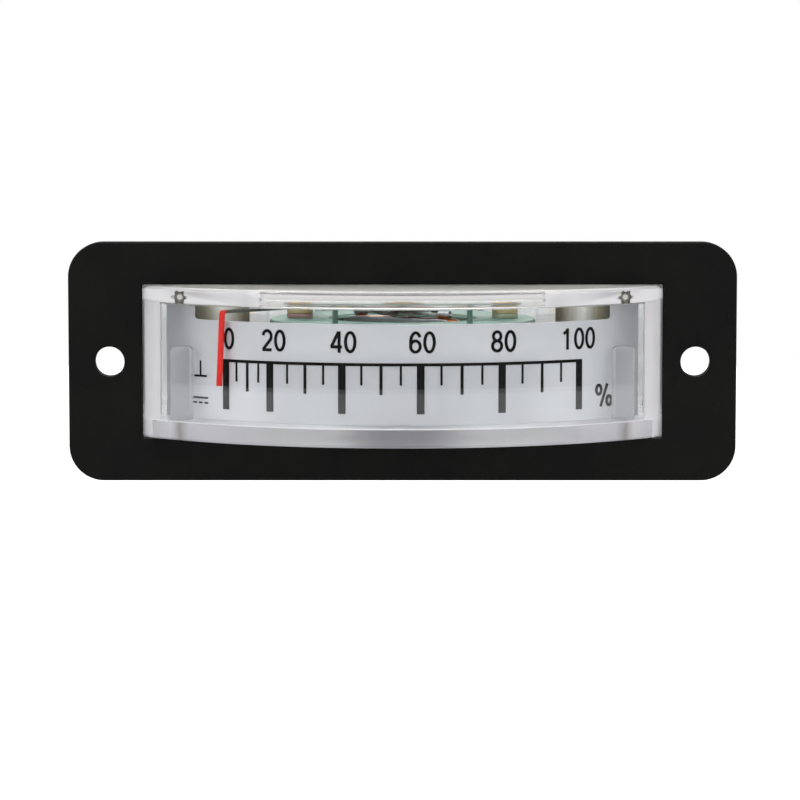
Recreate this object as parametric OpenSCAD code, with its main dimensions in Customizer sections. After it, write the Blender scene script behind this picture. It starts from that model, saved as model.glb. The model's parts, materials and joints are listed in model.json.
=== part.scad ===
// Edgewise moving-coil panel meter: black bezel, clear two-part case with a bowed front,
// curved dial, and a core-magnet movement that carries a red pointer.
// The front looks along -Y. The panel's front plane is y = 0, behind the bezel plate.

/* [Bezel] */
// Width of the plate beside the window
bezel_side = 7.3; // [6.5:0.1:10]
// Height of the plate above and below the window
bezel_band = 4.25; // [2.5:0.05:8]
// Thickness of the plate
bezel_t = 2; // [1.4:0.1:3]
// Corner radius of the plate
bezel_corner_r = 3.5; // [1:0.1:4.5]
// Diameter of the two panel screw holes
hole_d = 3; // [2.4:0.1:3.6]
// From the window's edge to a screw hole's middle
hole_offset = 3.2; // [3:0.05:4]
// Wall of the sleeve behind the plate
sleeve_wall = 1; // [0.6:0.1:1.2]
// Depth of the sleeve behind the plate
sleeve_depth = 4; // [2:0.1:6]

/* [Clear case] */
// Outside width at the bezel
case_w = 52.2; // [50:0.1:56]
// Outside height
case_h = 15.3; // [14.4:0.1:18]
// Outside radius of the bowed front, about the pointer's axis
front_r = 36; // [33:0.1:40]
// How far the bowed front stands ahead of the plate
front_reach = 10.6; // [8:0.1:12]
// Wall of the bowed front
front_wall = 1.5; // [1:0.1:2]
// Wall of the two sides and the rear
side_wall = 1.9; // [1.4:0.1:2.2]
// Wall of the roof
roof_t = 1.6; // [1.2:0.1:2.2]
// Thickness of the lower shell's floor
floor_t = 1.8; // [1.5:0.1:2.4]
// Skirt of the upper shell that the floor sits inside
skirt_wall = 1.05; // [0.7:0.05:1.2]
// Rounding of the outer front edges
front_edge_r = 0.4; // [0.1:0.05:0.6]
// Width across the rear wall
rear_w = 32; // [30:0.1:40]
// Depth behind the panel where the sides start to taper
taper_start = 6; // [5:0.1:12]
// Radius of the two rear corners
rear_corner_r = 3; // [2.4:0.1:5]
// Width of the shallow recess under the roof
recess_w = 28; // [27:0.1:32]
// Depth of that recess
recess_depth = 0.7; // [0.5:0.05:0.9]
// From the front wall to the recess
recess_margin = 1.5; // [0.8:0.1:2]
// Diameter of the two posts in front of the dial
post_d = 2.2; // [1.6:0.1:2.6]
// Height of the posts above the floor
post_h = 7.4; // [5:0.05:8]
// From the case's outer side to a post's middle
post_inset = 4.3; // [3.4:0.05:4.4]
// Diameter of the two moulding dimples in the roof's front
dimple_d = 0.9; // [0.5:0.1:1]
// Depth of a dimple
dimple_depth = 1; // [0.6:0.1:2]
// From the case's outer side to a dimple's middle
dimple_inset = 3.95; // [3.5:0.05:6]
// How far the side ribs behind the sleeve stand out
rib_out = 0.8; // [0.4:0.1:1]

/* [Dial] */
// From the front wall's inner face to the dial
dial_gap = 3.5; // [3:0.1:4]
// Thickness of the dial sheet
dial_t = 0.5; // [0.3:0.05:0.8]
// From the side wall to the dial's end
dial_side_gap = 0.6; // [0.2:0.05:1]
// From the dial's end to the notch in its top edge
notch_margin = 3; // [2:0.1:4]
// Depth of that notch below the roof
notch_depth = 1.9; // [1.6:0.05:2.2]
// From the notch's end to the nearest end mark
scale_margin = 3.2; // [2.4:0.05:4]
// Height of the scale line
scale_z = 0.2; // [-1:0.1:1]
// Thickness of the scale line
scale_line = 0.3; // [0.2:0.05:0.5]
// Length of the marks at 0, 20, 40, 60, 80 and 100
major_len = 4.9; // [4:0.1:5.2]
// Width of those marks
major_w = 0.75; // [0.4:0.05:0.8]
// Length of the marks at 10, 30, 50, 70 and 90
medium_len = 3; // [2:0.1:3.6]
// Width of those marks
medium_w = 0.3; // [0.2:0.05:0.4]
// Length of the small marks
minor_len = 2.05; // [1:0.05:2.4]
// Width of the small marks
minor_w = 0.22; // [0.15:0.01:0.3]

/* [Pointer] */
// Width of the arm at its hub
arm_root_w = 0.9; // [0.7:0.05:1.2]
// Thickness of the arm
arm_t = 0.3; // [0.2:0.05:0.35]
// Width of the red flag
flag_w = 0.5; // [0.4:0.05:0.8]
// From the dial's face to the top of the flag
flag_gap = 0.45; // [0.3:0.05:0.8]
// How far the flag leans out towards its lower end
flag_lean = 0.5; // [0:0.1:1.4]
// How far the flag reaches below the scale line
flag_drop = 2.5; // [1.5:0.1:4]
// Length of the tail behind the hub
tail_len = 7.6; // [6.6:0.1:8.4]
// Length of the two balance arms
balance_len = 6.3; // [5.6:0.1:7]
// Diameter of a balance weight
weight_d = 0.9; // [0.85:0.05:0.95]
// Length of a balance weight
weight_len = 1.4; // [0.8:0.1:1.8]
// Swing left beyond each end mark, in degrees
overtravel = 1.5; // [0.5:0.5:2.5]

/* [Movement] */
// Diameter of the core magnet
core_d = 11; // [10:0.1:12]
// From the core to the inside of the coil
core_gap = 0.5; // [0.4:0.05:0.8]
// From the coil's corners to the yoke
yoke_gap = 0.7; // [0.4:0.05:0.9]
// Wall of the yoke ring
yoke_wall = 6.5; // [6:0.1:7]
// Width of the coil, seen from above
coil_w = 2.4; // [1.8:0.1:3]
// Thickness of the wound coil
winding_t = 0.75; // [0.5:0.05:0.9]
// Sheet of the coil former
former_t = 0.2; // [0.15:0.01:0.3]
// Thickness of the base plate
base_t = 1.2; // [1:0.05:1.4]
// From the base plate up to the coil
coil_lift = 1.05; // [1:0.05:1.2]
// From the roof down to the yoke's top
head_room = 3.3; // [3.25:0.05:3.6]
// Height of the pillars under the top bridge
pillar_h = 1.9; // [1.85:0.05:1.95]
// Diameter of the pillars
pillar_d = 2.8; // [2.4:0.1:3.2]
// Thickness of the top bridge
bridge_t = 0.6; // [0.5:0.05:0.65]
// Width of the top bridge
bridge_w = 3.4; // [3:0.1:4]
// Angle that the core's two supports take up, in degrees
support_span = 36; // [20:1:40]
// Diameter of the jewel screws
jewel_d = 2.2; // [1.8:0.1:2.4]
// Diameter of the pivots
pivot_d = 0.6; // [0.4:0.05:0.7]
// Width of a hairspring's strip
spring_w = 0.35; // [0.25:0.05:0.4]
// Thickness of a hairspring's strip
spring_t = 0.12; // [0.08:0.01:0.16]
// Outside radius of a hairspring
spring_r = 3.9; // [3:0.1:4.2]
// Turns in a hairspring
spring_turns = 4; // [3:0.5:5]
// Thickness of the zero lever
lever_t = 0.3; // [0.2:0.05:0.32]
// Reach of the zero lever behind the axis
lever_len = 8; // [7:0.1:9]
// Diameter of the two stop pins
stop_d = 0.6; // [0.4:0.1:0.8]
// Radius of the base plate's foot, which goes through the floor
foot_r = 3.2; // [2.6:0.1:4]
// Thickness of the two side screens
screen_t = 0.5; // [0.3:0.05:0.8]

/* [Terminals] */
// From the middle to a terminal stud
stud_x = 7; // [6:0.1:8]
// Diameter of a stud
stud_d = 3; // [2.6:0.1:3.4]
// Diameter of a stud's inner head
stud_head_d = 5.5; // [5:0.1:6]
// Thickness of that head
stud_head_t = 1.5; // [1:0.1:2]
// Width across flats of a terminal nut
nut_af = 5.5; // [5:0.1:6]
// Thickness of a terminal nut
nut_t = 2.4; // [1.8:0.1:3]
// Diameter of a washer
washer_d = 6.4; // [6:0.1:7]
// Thickness of a washer
washer_t = 0.5; // [0.4:0.1:0.8]
// From a stud to the eye in its solder lug
eye_reach = 6.5; // [6:0.1:7.5]
// Diameter of that eye
eye_d = 1.5; // [1:0.1:2]
// Thickness of a solder lug
lug_t = 0.5; // [0.4:0.1:0.8]
// Length of stud left free behind the nut
stud_end = 1.6; // [0.8:0.1:4]
// Diameter of the series resistor
resistor_d = 2.2; // [1.8:0.1:2.6]
// Length of the series resistor
resistor_len = 6.4; // [5:0.1:7]
// Diameter of the inside wires
wire_d = 0.5; // [0.4:0.05:0.6]

/* [Clearances] */
// Between the case and the bezel's window
case_fit = 0.1; // [0.05:0.01:0.2]
// Between the two shells
shell_fit = 0.05; // [0.02:0.01:0.1]
// Between a screw, stud or pin and its hole
bore_fit = 0.05; // [0.02:0.01:0.08]
// Between pieces that seat on each other's round faces
seat_fit = 0.03; // [0.02:0.01:0.05]
// Between the dial and what holds it
dial_fit = 0.1; // [0.05:0.01:0.2]
// Between the posts and the dial
post_fit = 0.3; // [0.1:0.05:0.5]

/* [Hidden] */
$fn = 96;
eps = 0.01;
sides = [-1, 1];

// Window and plate
window_w = case_w + 2 * case_fit;
window_h = case_h + 2 * case_fit;
bezel_w = window_w + 2 * bezel_side;
bezel_h = window_h + 2 * bezel_band;
hole_pitch = window_w + 2 * hole_offset;

// Coil, yoke and case, from the core outwards
coil_in = core_d / 2 + core_gap;
coil_out = coil_in + former_t + winding_t;
yoke_bore_r = norm([coil_out, coil_w / 2]) + yoke_gap;
yoke_r = yoke_bore_r + yoke_wall;
yoke_mid_r = (yoke_bore_r + yoke_r) / 2;
pivot_y = front_r - front_reach - bezel_t;
resistor_gap = 0.7;
lead_room = 1;
resistor_y = pivot_y + yoke_r + resistor_gap + resistor_d / 2;
head_y = resistor_y + resistor_d / 2 + lead_room;
rear_in_y = head_y + stud_head_t;
case_depth = rear_in_y + side_wall;

// Heights, from the floor up and from the roof down
half_h = case_h / 2;
floor_z = floor_t - half_h;
roof_z = half_h - roof_t;
base_top = floor_z + base_t;
yoke_top = roof_z - head_room;
coil_bottom = base_top + coil_lift;
coil_rise = 0.05;
coil_top = yoke_top + coil_rise;
coil_wall = former_t + winding_t;
core_end_gap = 0.3;
core_bore_d = 2.2;
flange_t = 0.2;
core_bottom = coil_bottom + coil_wall + core_end_gap;
core_top = coil_top - coil_wall - core_end_gap;
boss_t = 0.3;
hub_z = coil_top + boss_t;
hub_top = hub_z + arm_t;
bridge_z = yoke_top + pillar_h;
bridge_top = bridge_z + bridge_t;
bridge_hub_d = 5.8;
bridge_screw_r = 0.7;
lever_gap = 0.02;
lever_z = bridge_top + lever_gap;
lever_top = lever_z + lever_t;
lock_nut_t = 0.45;
lock_nut_af = 3.6;
lock_nut_top = lever_top + lever_gap + lock_nut_t;
jewel_end = 0.2;
jewel_slot_w = 0.4;
stop_depth = 1;

// Screws under the floor, and the base plate's tag
base_screw_r = 1;
base_head_r = 1.9;
base_head_h = 0.7;
base_head_sink = 0.2;
base_head_z = base_head_h + base_head_sink - half_h;
foot_sink = 0.6;
foot_z = foot_sink - half_h;
tag_x = -stud_x;
tag_w = 3.2;
tag_reach = 2.2;

// Rear terminals, from the wall outwards
lug_y = case_depth + washer_t;
nut_y = lug_y + lug_t;
stud_y = nut_y + nut_t + stud_end;

// Dial and pointer
dial_r = front_r - front_wall - dial_gap;
dial_half = case_w / 2 - side_wall - dial_side_gap;
notch_half = dial_half - notch_margin;
notch_z = roof_z - notch_depth;
scale_half = asin((notch_half - scale_margin) / dial_r);
// Share of the sweep at each main mark: the low end of the scale is closed up
main_marks = [0, 0.137, 0.339, 0.548, 0.768, 1];
marks_per_step = 4;
print_gap = 0.02;
print_t = 0.06;
rest_angle = -scale_half;
bend_r = 0.5;
flag_r = dial_r + flag_gap - bend_r + arm_t;
arm_end_z = (notch_z + roof_z - arm_t) / 2;
knee_r = 8;
knee_drop = 0.4;
hub_r = 1.6;
balance_w = 0.5;
// Angle from the pointer, and length, of the tail and the balance arms
balance_arms = [[-90, balance_len], [90, balance_len], [180, tail_len]];
flag_end_z = scale_z - flag_drop;
stop_angle = scale_half + overtravel + asin((arm_root_w / 2 + stop_d / 2 + bore_fit) / yoke_mid_r);
post_x = case_w / 2 - post_inset;
post_ring_r = dial_r + post_fit + post_d / 2;
post_y = pivot_y - sqrt(pow(post_ring_r, 2) - pow(post_x, 2));
dimple_x = case_w / 2 - dimple_inset;
dimple_y = pivot_y - sqrt(pow(front_r, 2) - pow(dimple_x, 2));
dimple_z = (roof_z + half_h - front_edge_r) / 2;

// Pivots, springs and jewels
cup_depth = 0.45;
cup_clear = 0.25;
cup_mouth_r = pivot_d / 2 + cup_clear;
cup_floor_r = 0.12;
stone_r = 0.75;
stone_floor = 0.2;
stone_h = cup_depth + stone_floor;
tip_r = 0.06;
tip_gap = 0.1;
tip_len = 0.25;
collet_r = 0.8;
collet_gap = 0.02;
jewel_drop = 0.15;
jewel_rise = 0.1;
upper_cup_z = bridge_z - jewel_drop;
lower_cup_z = base_top + jewel_rise;
spring_lift = 0.35;
spring_drop = 0.1;
upper_spring_z = hub_top + spring_lift;
lower_spring_z = coil_bottom - boss_t - spring_drop - spring_w;
spring_steps = 20;

// Rear taper of the case: unit normal of the slanted side
taper_len = norm([case_w / 2 - rear_w / 2, case_depth - taper_start]);
taper_nx = (case_depth - taper_start) / taper_len;
taper_ny = (case_w / 2 - rear_w / 2) / taper_len;
function taper_y(inset) = taper_start + inset * (taper_nx - 1) / taper_ny;
function slant_x(inset, y) = case_w / 2 - (inset + taper_ny * (y - taper_start)) / taper_nx;
function rear_x(inset) = slant_x(inset, case_depth - inset);

// Helpers

// Moves to the pointer's axis
module on_axis() {
    translate([0, pivot_y, 0])
        children();
}

// Moves to the pointer's axis and turns to where the pointer rests
module on_coil() {
    on_axis()
        rotate([0, 0, rest_angle])
            children();
}

// Plain round bar between two heights
module bar(r, z0, z1) {
    translate([0, 0, z0])
        cylinder(r = r, h = z1 - z0);
}

// Round tube between two heights
module tube(r_out, r_in, z0, z1) {
    difference() {
        bar(r_out, z0, z1);
        bar(r_in, z0 - eps, z1 + eps);
    }
}

// Part of a ring about the axis, its angle counted from straight ahead
module sector(r0, r1, z0, z1, mid, span) {
    rotate([0, 0, mid - span / 2 - 90])
        rotate_extrude(angle = span)
            translate([r0, z0])
                square([r1 - r0, z1 - z0]);
}

// Rectangle with round corners, about the origin
module round_plate(w, h, r) {
    square([w - 2 * r, h], center = true);
    square([w, h - 2 * r], center = true);
    for (sx = sides, sz = sides)
        translate([sx * (w / 2 - r), sz * (h / 2 - r)])
            circle(r = r);
}

// Flat outline in x and z, given depth from y0 to y1
module upright(y0, y1) {
    translate([0, y1, 0])
        rotate([90, 0, 0])
            linear_extrude(height = y1 - y0)
                children();
}

// Round bar along y
module rod_y(r, y0, y1) {
    translate([0, y0, 0])
        rotate([-90, 0, 0])
            cylinder(r = r, h = y1 - y0);
}

// Outline of the case seen from above, moved inwards by inset and left open ahead
module case_plan(inset) {
    corner_r = rear_corner_r - inset;
    corner_x = rear_x(rear_corner_r);
    corner_y = case_depth - rear_corner_r;
    side_x = case_w / 2 - inset;
    right = [[side_x, pivot_y - front_r - 1], [side_x, taper_y(inset)],
        [corner_x + taper_nx * corner_r, corner_y + taper_ny * corner_r],
        [corner_x, corner_y + corner_r]];
    left = [for (i = [len(right) - 1 : -1 : 0]) [-right[i][0], right[i][1]]];
    polygon(concat(right, left));
    for (s = sides)
        translate([s * corner_x, corner_y])
            circle(r = corner_r);
}

// Slab of that outline between two heights
module case_slab(inset, z0, z1) {
    translate([0, 0, z0])
        linear_extrude(height = z1 - z0)
            case_plan(inset);
}

// Drum about the axis whose outer edges are rounded: it cuts the case's bowed front
module front_drum() {
    on_axis()
        rotate_extrude()
            intersection() {
                round_plate(2 * front_r, case_h, front_edge_r);
                translate([0, -half_h])
                    square([front_r, case_h]);
            }
}

// Pan head screw along z, head up, with a slot
module slotted_screw(head_r, head_h, shank_r, shank_len) {
    slot_w = head_r / 3;
    difference() {
        bar(head_r, 0, head_h);
        translate([-head_r, -slot_w / 2, head_h / 2])
            cube([2 * head_r, slot_w, head_h]);
    }
    bar(shank_r, -shank_len, eps);
}

// Wire along a list of points, rounded where it bends
module wire(points) {
    for (i = [0 : len(points) - 2]) {
        step = points[i + 1] - points[i];
        translate(points[i])
            rotate([0, acos(step[2] / norm(step)), atan2(step[1], step[0])])
                cylinder(d = wire_d, h = norm(step), $fn = 24);
    }
    for (i = [1 : len(points) - 2])
        translate(points[i])
            sphere(d = wire_d, $fn = 24);
}

// Flat spiral strip, its outer end straight behind the axis
module hairspring(z0) {
    inner_r = collet_r + collet_gap;
    last = spring_turns * spring_steps;
    function spiral(i, extra) =
        (inner_r + extra + (spring_r - spring_t - inner_r) * i / last)
            * [cos(90 + (i - last) * 360 / spring_steps), sin(90 + (i - last) * 360 / spring_steps)];
    translate([0, 0, z0])
        linear_extrude(height = spring_w)
            polygon(concat(
                [for (i = [0 : last]) spiral(i, spring_t)],
                [for (i = [last : -1 : 0]) spiral(i, 0)]));
}

// Black plate with the window, the screw holes and a sleeve behind the window
module bezel() {
    sleeve_w = window_w + 2 * sleeve_wall;
    sleeve_h = window_h + 2 * sleeve_wall;
    color("#1a1c1a")
        difference() {
            union() {
                upright(-bezel_t, 0)
                    round_plate(bezel_w, bezel_h, bezel_corner_r);
                upright(-eps, sleeve_depth)
                    square([sleeve_w, sleeve_h], center = true);
            }
            upright(-bezel_t - eps, sleeve_depth + eps)
                square([window_w, window_h], center = true);
            for (s = sides)
                translate([s * hole_pitch / 2, 0, 0])
                    rod_y(hole_d / 2, -bezel_t - eps, eps);
        }
}

// Roof, sides, rear and bowed front as one clear moulding
module upper_case() {
    rib_len = 1.2;
    rib_h = case_h / 2;
    color("#e8eef0", 0.35)
        difference() {
            union() {
                intersection() {
                    case_slab(0, -half_h, half_h);
                    front_drum();
                }
                for (s = sides)
                    translate([s * (case_w / 2 + rib_out / 2), sleeve_depth + rib_len / 2 + eps, 0])
                        cube([rib_out + 2 * eps, rib_len, rib_h], center = true);
            }
            intersection() {
                case_slab(side_wall, -half_h - 1, roof_z);
                on_axis()
                    bar(front_r - front_wall, -half_h - 1, roof_z);
            }
            case_slab(skirt_wall, -half_h - 1, floor_z);
            roof_recess();
            for (s = sides) {
                translate([s * dimple_x, dimple_y, dimple_z])
                    rod_y(dimple_d / 2, -2 * dimple_d, dimple_depth);
                translate([s * stud_x, 0, 0])
                    rod_y(stud_d / 2 + bore_fit, rear_in_y - eps, case_depth + eps);
            }
        }
}

// Shallow pocket under the roof, over the movement
module roof_recess() {
    recess_r = front_r - front_wall - recess_margin;
    recess_end = pivot_y + yoke_r;
    intersection() {
        translate([-recess_w / 2, pivot_y - recess_r, roof_z - eps])
            cube([recess_w, recess_r + recess_end - pivot_y, recess_depth + eps]);
        on_axis()
            bar(recess_r, roof_z - eps, roof_z + recess_depth);
    }
}

// Floor with its front lip, the two posts, the dial's rear ribs and the movement's screw holes
module lower_case() {
    rib_t = 1.2;
    rib_depth = 2.4;
    rib_r = dial_r - dial_t - dial_fit;
    rib_angle = asin(post_x / post_ring_r);
    color("#dfe7ea", 0.35)
        difference() {
            union() {
                intersection() {
                    case_slab(skirt_wall + shell_fit, -half_h, floor_z);
                    front_drum();
                }
                for (s = sides) {
                    translate([s * post_x, post_y, 0])
                        bar(post_d / 2, floor_z - eps, floor_z + post_h);
                    on_axis()
                        rotate([0, 0, s * rib_angle])
                            translate([-rib_t / 2, -rib_r, floor_z - eps])
                                cube([rib_t, rib_depth, post_h]);
                }
            }
            for (s = sides)
                translate([0, pivot_y + s * yoke_mid_r, 0]) {
                    bar(base_screw_r + bore_fit, -half_h - eps, floor_z + eps);
                    bar(base_head_r + bore_fit, -half_h - eps, base_head_z);
                }
            on_axis()
                bar(foot_r + bore_fit, -half_h - eps, floor_z + eps);
        }
}

// Curved sheet that stands between the posts and the ribs, with a notch for the pointer
module dial_plate() {
    color("#d2d4d4")
        on_axis()
            intersection() {
                tube(dial_r, dial_r - dial_t, floor_z, roof_z - dial_fit);
                translate([-dial_half, -dial_r - 1, floor_z])
                    difference() {
                        cube([2 * dial_half, dial_r, roof_z - floor_z]);
                        translate([dial_half - notch_half, -1, notch_z - floor_z])
                            cube([2 * notch_half, dial_r + 2, notch_depth + 1]);
                    }
            }
}

// One printed mark that hangs just below the scale line
module mark(angle, w, length) {
    r = dial_r + print_gap;
    line_z = scale_z - scale_line / 2;
    sector(r, r + print_t, scale_z - length, line_z - print_gap, angle, w / dial_r * 180 / PI);
}

// Printed scale: its line and its marks
module scale_marks() {
    r = dial_r + print_gap;
    sweep = 2 * scale_half;
    steps = len(main_marks) - 1;
    color("#2a2c2e")
        on_axis() {
            sector(r, r + print_t, scale_z - scale_line / 2, scale_z + scale_line / 2, 0,
                sweep + major_w / dial_r * 180 / PI);
            for (share = main_marks)
                mark(sweep * share - scale_half, major_w, major_len);
            for (i = [0 : steps - 1], k = [1 : marks_per_step - 1]) {
                share = main_marks[i] + (main_marks[i + 1] - main_marks[i]) * k / marks_per_step;
                medium = k == marks_per_step / 2;
                mark(sweep * share - scale_half, medium ? medium_w : minor_w,
                    medium ? medium_len : minor_len);
            }
        }
}

// Round plate with a spigot for the yoke, a foot for the lower jewel and a tag for the lead
module movement_base() {
    spigot_h = 0.5;
    spigot_t = 0.6;
    spigot_r = yoke_bore_r - seat_fit;
    color("#8d8f88")
        on_axis()
            difference() {
                union() {
                    bar(yoke_r, floor_z, base_top);
                    bar(foot_r, foot_z, floor_z + eps);
                    tube(spigot_r, spigot_r - spigot_t, base_top - eps, base_top + spigot_h);
                    translate([tag_x - tag_w / 2, 0, floor_z])
                        cube([tag_w, yoke_r + tag_reach, base_t / 2]);
                }
                bar(jewel_d / 2 + seat_fit, foot_z - eps, base_top + eps);
                for (s = sides)
                    translate([0, s * yoke_mid_r, 0])
                        bar(base_screw_r + seat_fit, floor_z - eps, base_top + eps);
            }
}

module movement_screws() {
    color("#b8bab8")
        for (s = sides)
            translate([0, pivot_y + s * yoke_mid_r, base_head_z])
                mirror([0, 0, 1])
                    slotted_screw(base_head_r, base_head_h, base_screw_r, base_top - base_head_z - eps);
}

// Strip along a slanted side, from one inset to another and from the floor to a height
module side_strip(s, inset0, inset1, top) {
    front_y = 13;
    rear_y = 32;
    translate([0, 0, floor_z])
        linear_extrude(height = top - floor_z)
            polygon([[s * slant_x(inset0, front_y), front_y],
                [s * slant_x(inset0, rear_y), rear_y],
                [s * slant_x(inset1, rear_y), rear_y],
                [s * slant_x(inset1, front_y), front_y]]);
}

// Steel screens along the tapered sides, each with a flange on the floor
module side_screens() {
    wall_gap = 0.15;
    roof_gap = 0.15;
    flange_w = 2.4;
    inset = side_wall + wall_gap;
    color("#a39a6c")
        for (s = sides) {
            side_strip(s, inset, inset + screen_t, roof_z - roof_gap);
            side_strip(s, inset, inset + flange_w, floor_z + screen_t);
        }
}

// Soft iron ring, with holes for the pillars' pegs
module yoke_ring() {
    color("#6f8780")
        on_axis()
            difference() {
                tube(yoke_r, yoke_bore_r, base_top, yoke_top);
                for (s = sides)
                    rotate([0, 0, s * stop_angle])
                        translate([0, -yoke_mid_r, 0])
                            bar(stop_d / 2 + seat_fit, yoke_top - stop_depth - eps, yoke_top + eps);
            }
}

module core_magnet() {
    color("#4a4c50")
        on_axis()
            tube(core_d / 2, core_bore_d / 2, core_bottom, core_top);
}

// Two blocks that hold the core in the middle of the ring, ahead and behind
module core_supports() {
    color("#b9a26a")
        on_axis()
            for (mid = [0, 180])
                sector(core_d / 2 + seat_fit, yoke_bore_r - seat_fit, core_bottom, core_top,
                    mid, support_span);
}

// Threaded bush with a pocket at one end for a jewel
module lower_jewel_screw() {
    low = foot_z - jewel_end;
    color("#c9a850")
        on_axis()
            difference() {
                bar(jewel_d / 2, low, lower_cup_z);
                bar(stone_r + seat_fit, lower_cup_z - stone_h, lower_cup_z + eps);
                translate([-jewel_d, -jewel_slot_w / 2, low - jewel_end])
                    cube([2 * jewel_d, jewel_slot_w, 2 * jewel_end]);
            }
}

// Jewel with a conical cup for a pivot's point
module lower_jewel() {
    color("#b8385a")
        on_axis()
            difference() {
                bar(stone_r, lower_cup_z - stone_h, lower_cup_z);
                translate([0, 0, lower_cup_z - cup_depth])
                    cylinder(r1 = cup_floor_r, r2 = cup_mouth_r, h = cup_depth + eps);
            }
}

module upper_jewel_screw() {
    top = lock_nut_top + jewel_end;
    color("#c9a850")
        on_axis()
            difference() {
                bar(jewel_d / 2, upper_cup_z, top);
                bar(stone_r + seat_fit, upper_cup_z - eps, upper_cup_z + stone_h);
                translate([-jewel_d, -jewel_slot_w / 2, top - jewel_end])
                    cube([2 * jewel_d, jewel_slot_w, 2 * jewel_end]);
            }
}

module upper_jewel() {
    color("#b8385a")
        on_axis()
            difference() {
                bar(stone_r, upper_cup_z, upper_cup_z + stone_h);
                translate([0, 0, upper_cup_z - eps])
                    cylinder(r1 = cup_mouth_r, r2 = cup_floor_r, h = cup_depth + eps);
            }
}

// Hexagon nut that locks the upper jewel and holds the zero lever down
module jewel_lock_nut() {
    nut_r = lock_nut_af / sqrt(3);
    color("#cfc9b4")
        on_axis()
            difference() {
                translate([0, 0, lever_top + lever_gap])
                    cylinder(r = nut_r, h = lock_nut_t, $fn = 6);
                bar(jewel_d / 2 + seat_fit, lever_top, lock_nut_top + eps);
            }
}

// Flat bar across the yoke, widened round the jewel
module top_bridge() {
    color("#7f918c")
        on_axis()
            difference() {
                translate([0, 0, bridge_z])
                    linear_extrude(height = bridge_t) {
                        square([2 * yoke_mid_r, bridge_w], center = true);
                        circle(d = bridge_hub_d);
                        for (s = sides)
                            translate([s * yoke_mid_r, 0])
                                circle(d = bridge_w);
                    }
                bar(jewel_d / 2 + seat_fit, bridge_z - eps, bridge_top + eps);
                for (s = sides)
                    translate([s * yoke_mid_r, 0, 0])
                        bar(bridge_screw_r + bore_fit, bridge_z - eps, bridge_top + eps);
            }
}

// Insulating pillars between the yoke and the bridge
module bridge_pillars() {
    color("#3a3029")
        for (s = sides)
            translate([s * yoke_mid_r, pivot_y, 0])
                tube(pillar_d / 2, bridge_screw_r + seat_fit, yoke_top, bridge_z);
}

module bridge_screws() {
    head_h = 0.6;
    color("#c8a24c")
        for (s = sides)
            translate([s * yoke_mid_r, pivot_y, bridge_top])
                slotted_screw(pillar_d / 2, head_h, bridge_screw_r, bridge_t + pillar_h - eps);
}

// Lever under the lock nut: a forked end behind, and a tab down to the spring's outer end
module zero_lever() {
    ring_w = 1.2;
    ring_r = jewel_d / 2 + ring_w;
    lever_w = 1.6;
    fork_w = 0.7;
    fork_len = 2;
    tab_w = 0.8;
    tab_t = 0.35;
    color("#c4a95c")
        on_axis()
            difference() {
                union() {
                    bar(ring_r, lever_z, lever_top);
                    translate([-lever_w / 2, 0, lever_z])
                        cube([lever_w, lever_len, lever_t]);
                    translate([-tab_w / 2, spring_r + collet_gap, upper_spring_z])
                        cube([tab_w, tab_t, lever_top - upper_spring_z]);
                }
                bar(jewel_d / 2 + bore_fit, lever_z - eps, lever_top + eps);
                translate([-fork_w / 2, lever_len - fork_len, lever_z - eps])
                    cube([fork_w, fork_len + eps, lever_t + 2 * eps]);
            }
}

module upper_hairspring() {
    color("#b9864a")
        on_axis()
            hairspring(upper_spring_z);
}

module lower_hairspring() {
    color("#b9864a")
        on_axis()
            hairspring(lower_spring_z);
}

// Pin on the base plate that holds the lower spring's outer end
module lower_spring_post() {
    pin_r = 0.35;
    color("#c4a95c")
        on_axis()
            translate([0, spring_r + collet_gap + pin_r, 0])
                bar(pin_r, base_top, lower_spring_z + spring_w);
}

// Loop in the upright plane through the axis: it goes round the core
module coil_loop(grow, w) {
    half_w = coil_in + grow;
    low = coil_bottom + coil_wall - grow;
    high = coil_top - coil_wall + grow;
    translate([-half_w, -w / 2, low])
        cube([2 * half_w, w, high - low]);
}

// Thin metal frame with a flange on each side of the wire
module coil_former() {
    color("#c3c7c9")
        on_coil()
            difference() {
                coil_loop(coil_wall, coil_w);
                coil_loop(0, coil_w + 1);
                difference() {
                    coil_loop(coil_wall + 1, coil_w - 2 * flange_t);
                    coil_loop(former_t, coil_w + 1);
                }
            }
}

// Copper winding between the flanges
module coil_winding() {
    wire_w = coil_w - 2 * flange_t - 2 * seat_fit;
    color("#b4652e")
        on_coil()
            difference() {
                coil_loop(coil_wall - seat_fit, wire_w);
                coil_loop(former_t + seat_fit, coil_w + 1);
            }
}

// Steel pivot on a brass foot, with a collet for the spring and a pointed end
module upper_pivot() {
    tip_top = upper_cup_z + cup_depth - tip_gap;
    color("#bfae74")
        on_coil() {
            bar(coil_w / 2, coil_top, hub_z);
            bar(pivot_d / 2, hub_z - eps, tip_top - tip_len);
            bar(collet_r, hub_top, upper_spring_z + spring_w);
            translate([0, 0, tip_top - tip_len - eps])
                cylinder(r1 = pivot_d / 2, r2 = tip_r, h = tip_len + eps);
        }
}

module lower_pivot() {
    tip_low = lower_cup_z - cup_depth + tip_gap;
    color("#bfae74")
        on_coil() {
            bar(coil_w / 2, coil_bottom - boss_t, coil_bottom);
            bar(collet_r, lower_spring_z, coil_bottom - boss_t + eps);
            bar(pivot_d / 2, tip_low + tip_len, lower_spring_z + eps);
            translate([0, 0, tip_low])
                cylinder(r1 = tip_r, r2 = pivot_d / 2, h = tip_len + eps);
        }
}

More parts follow.
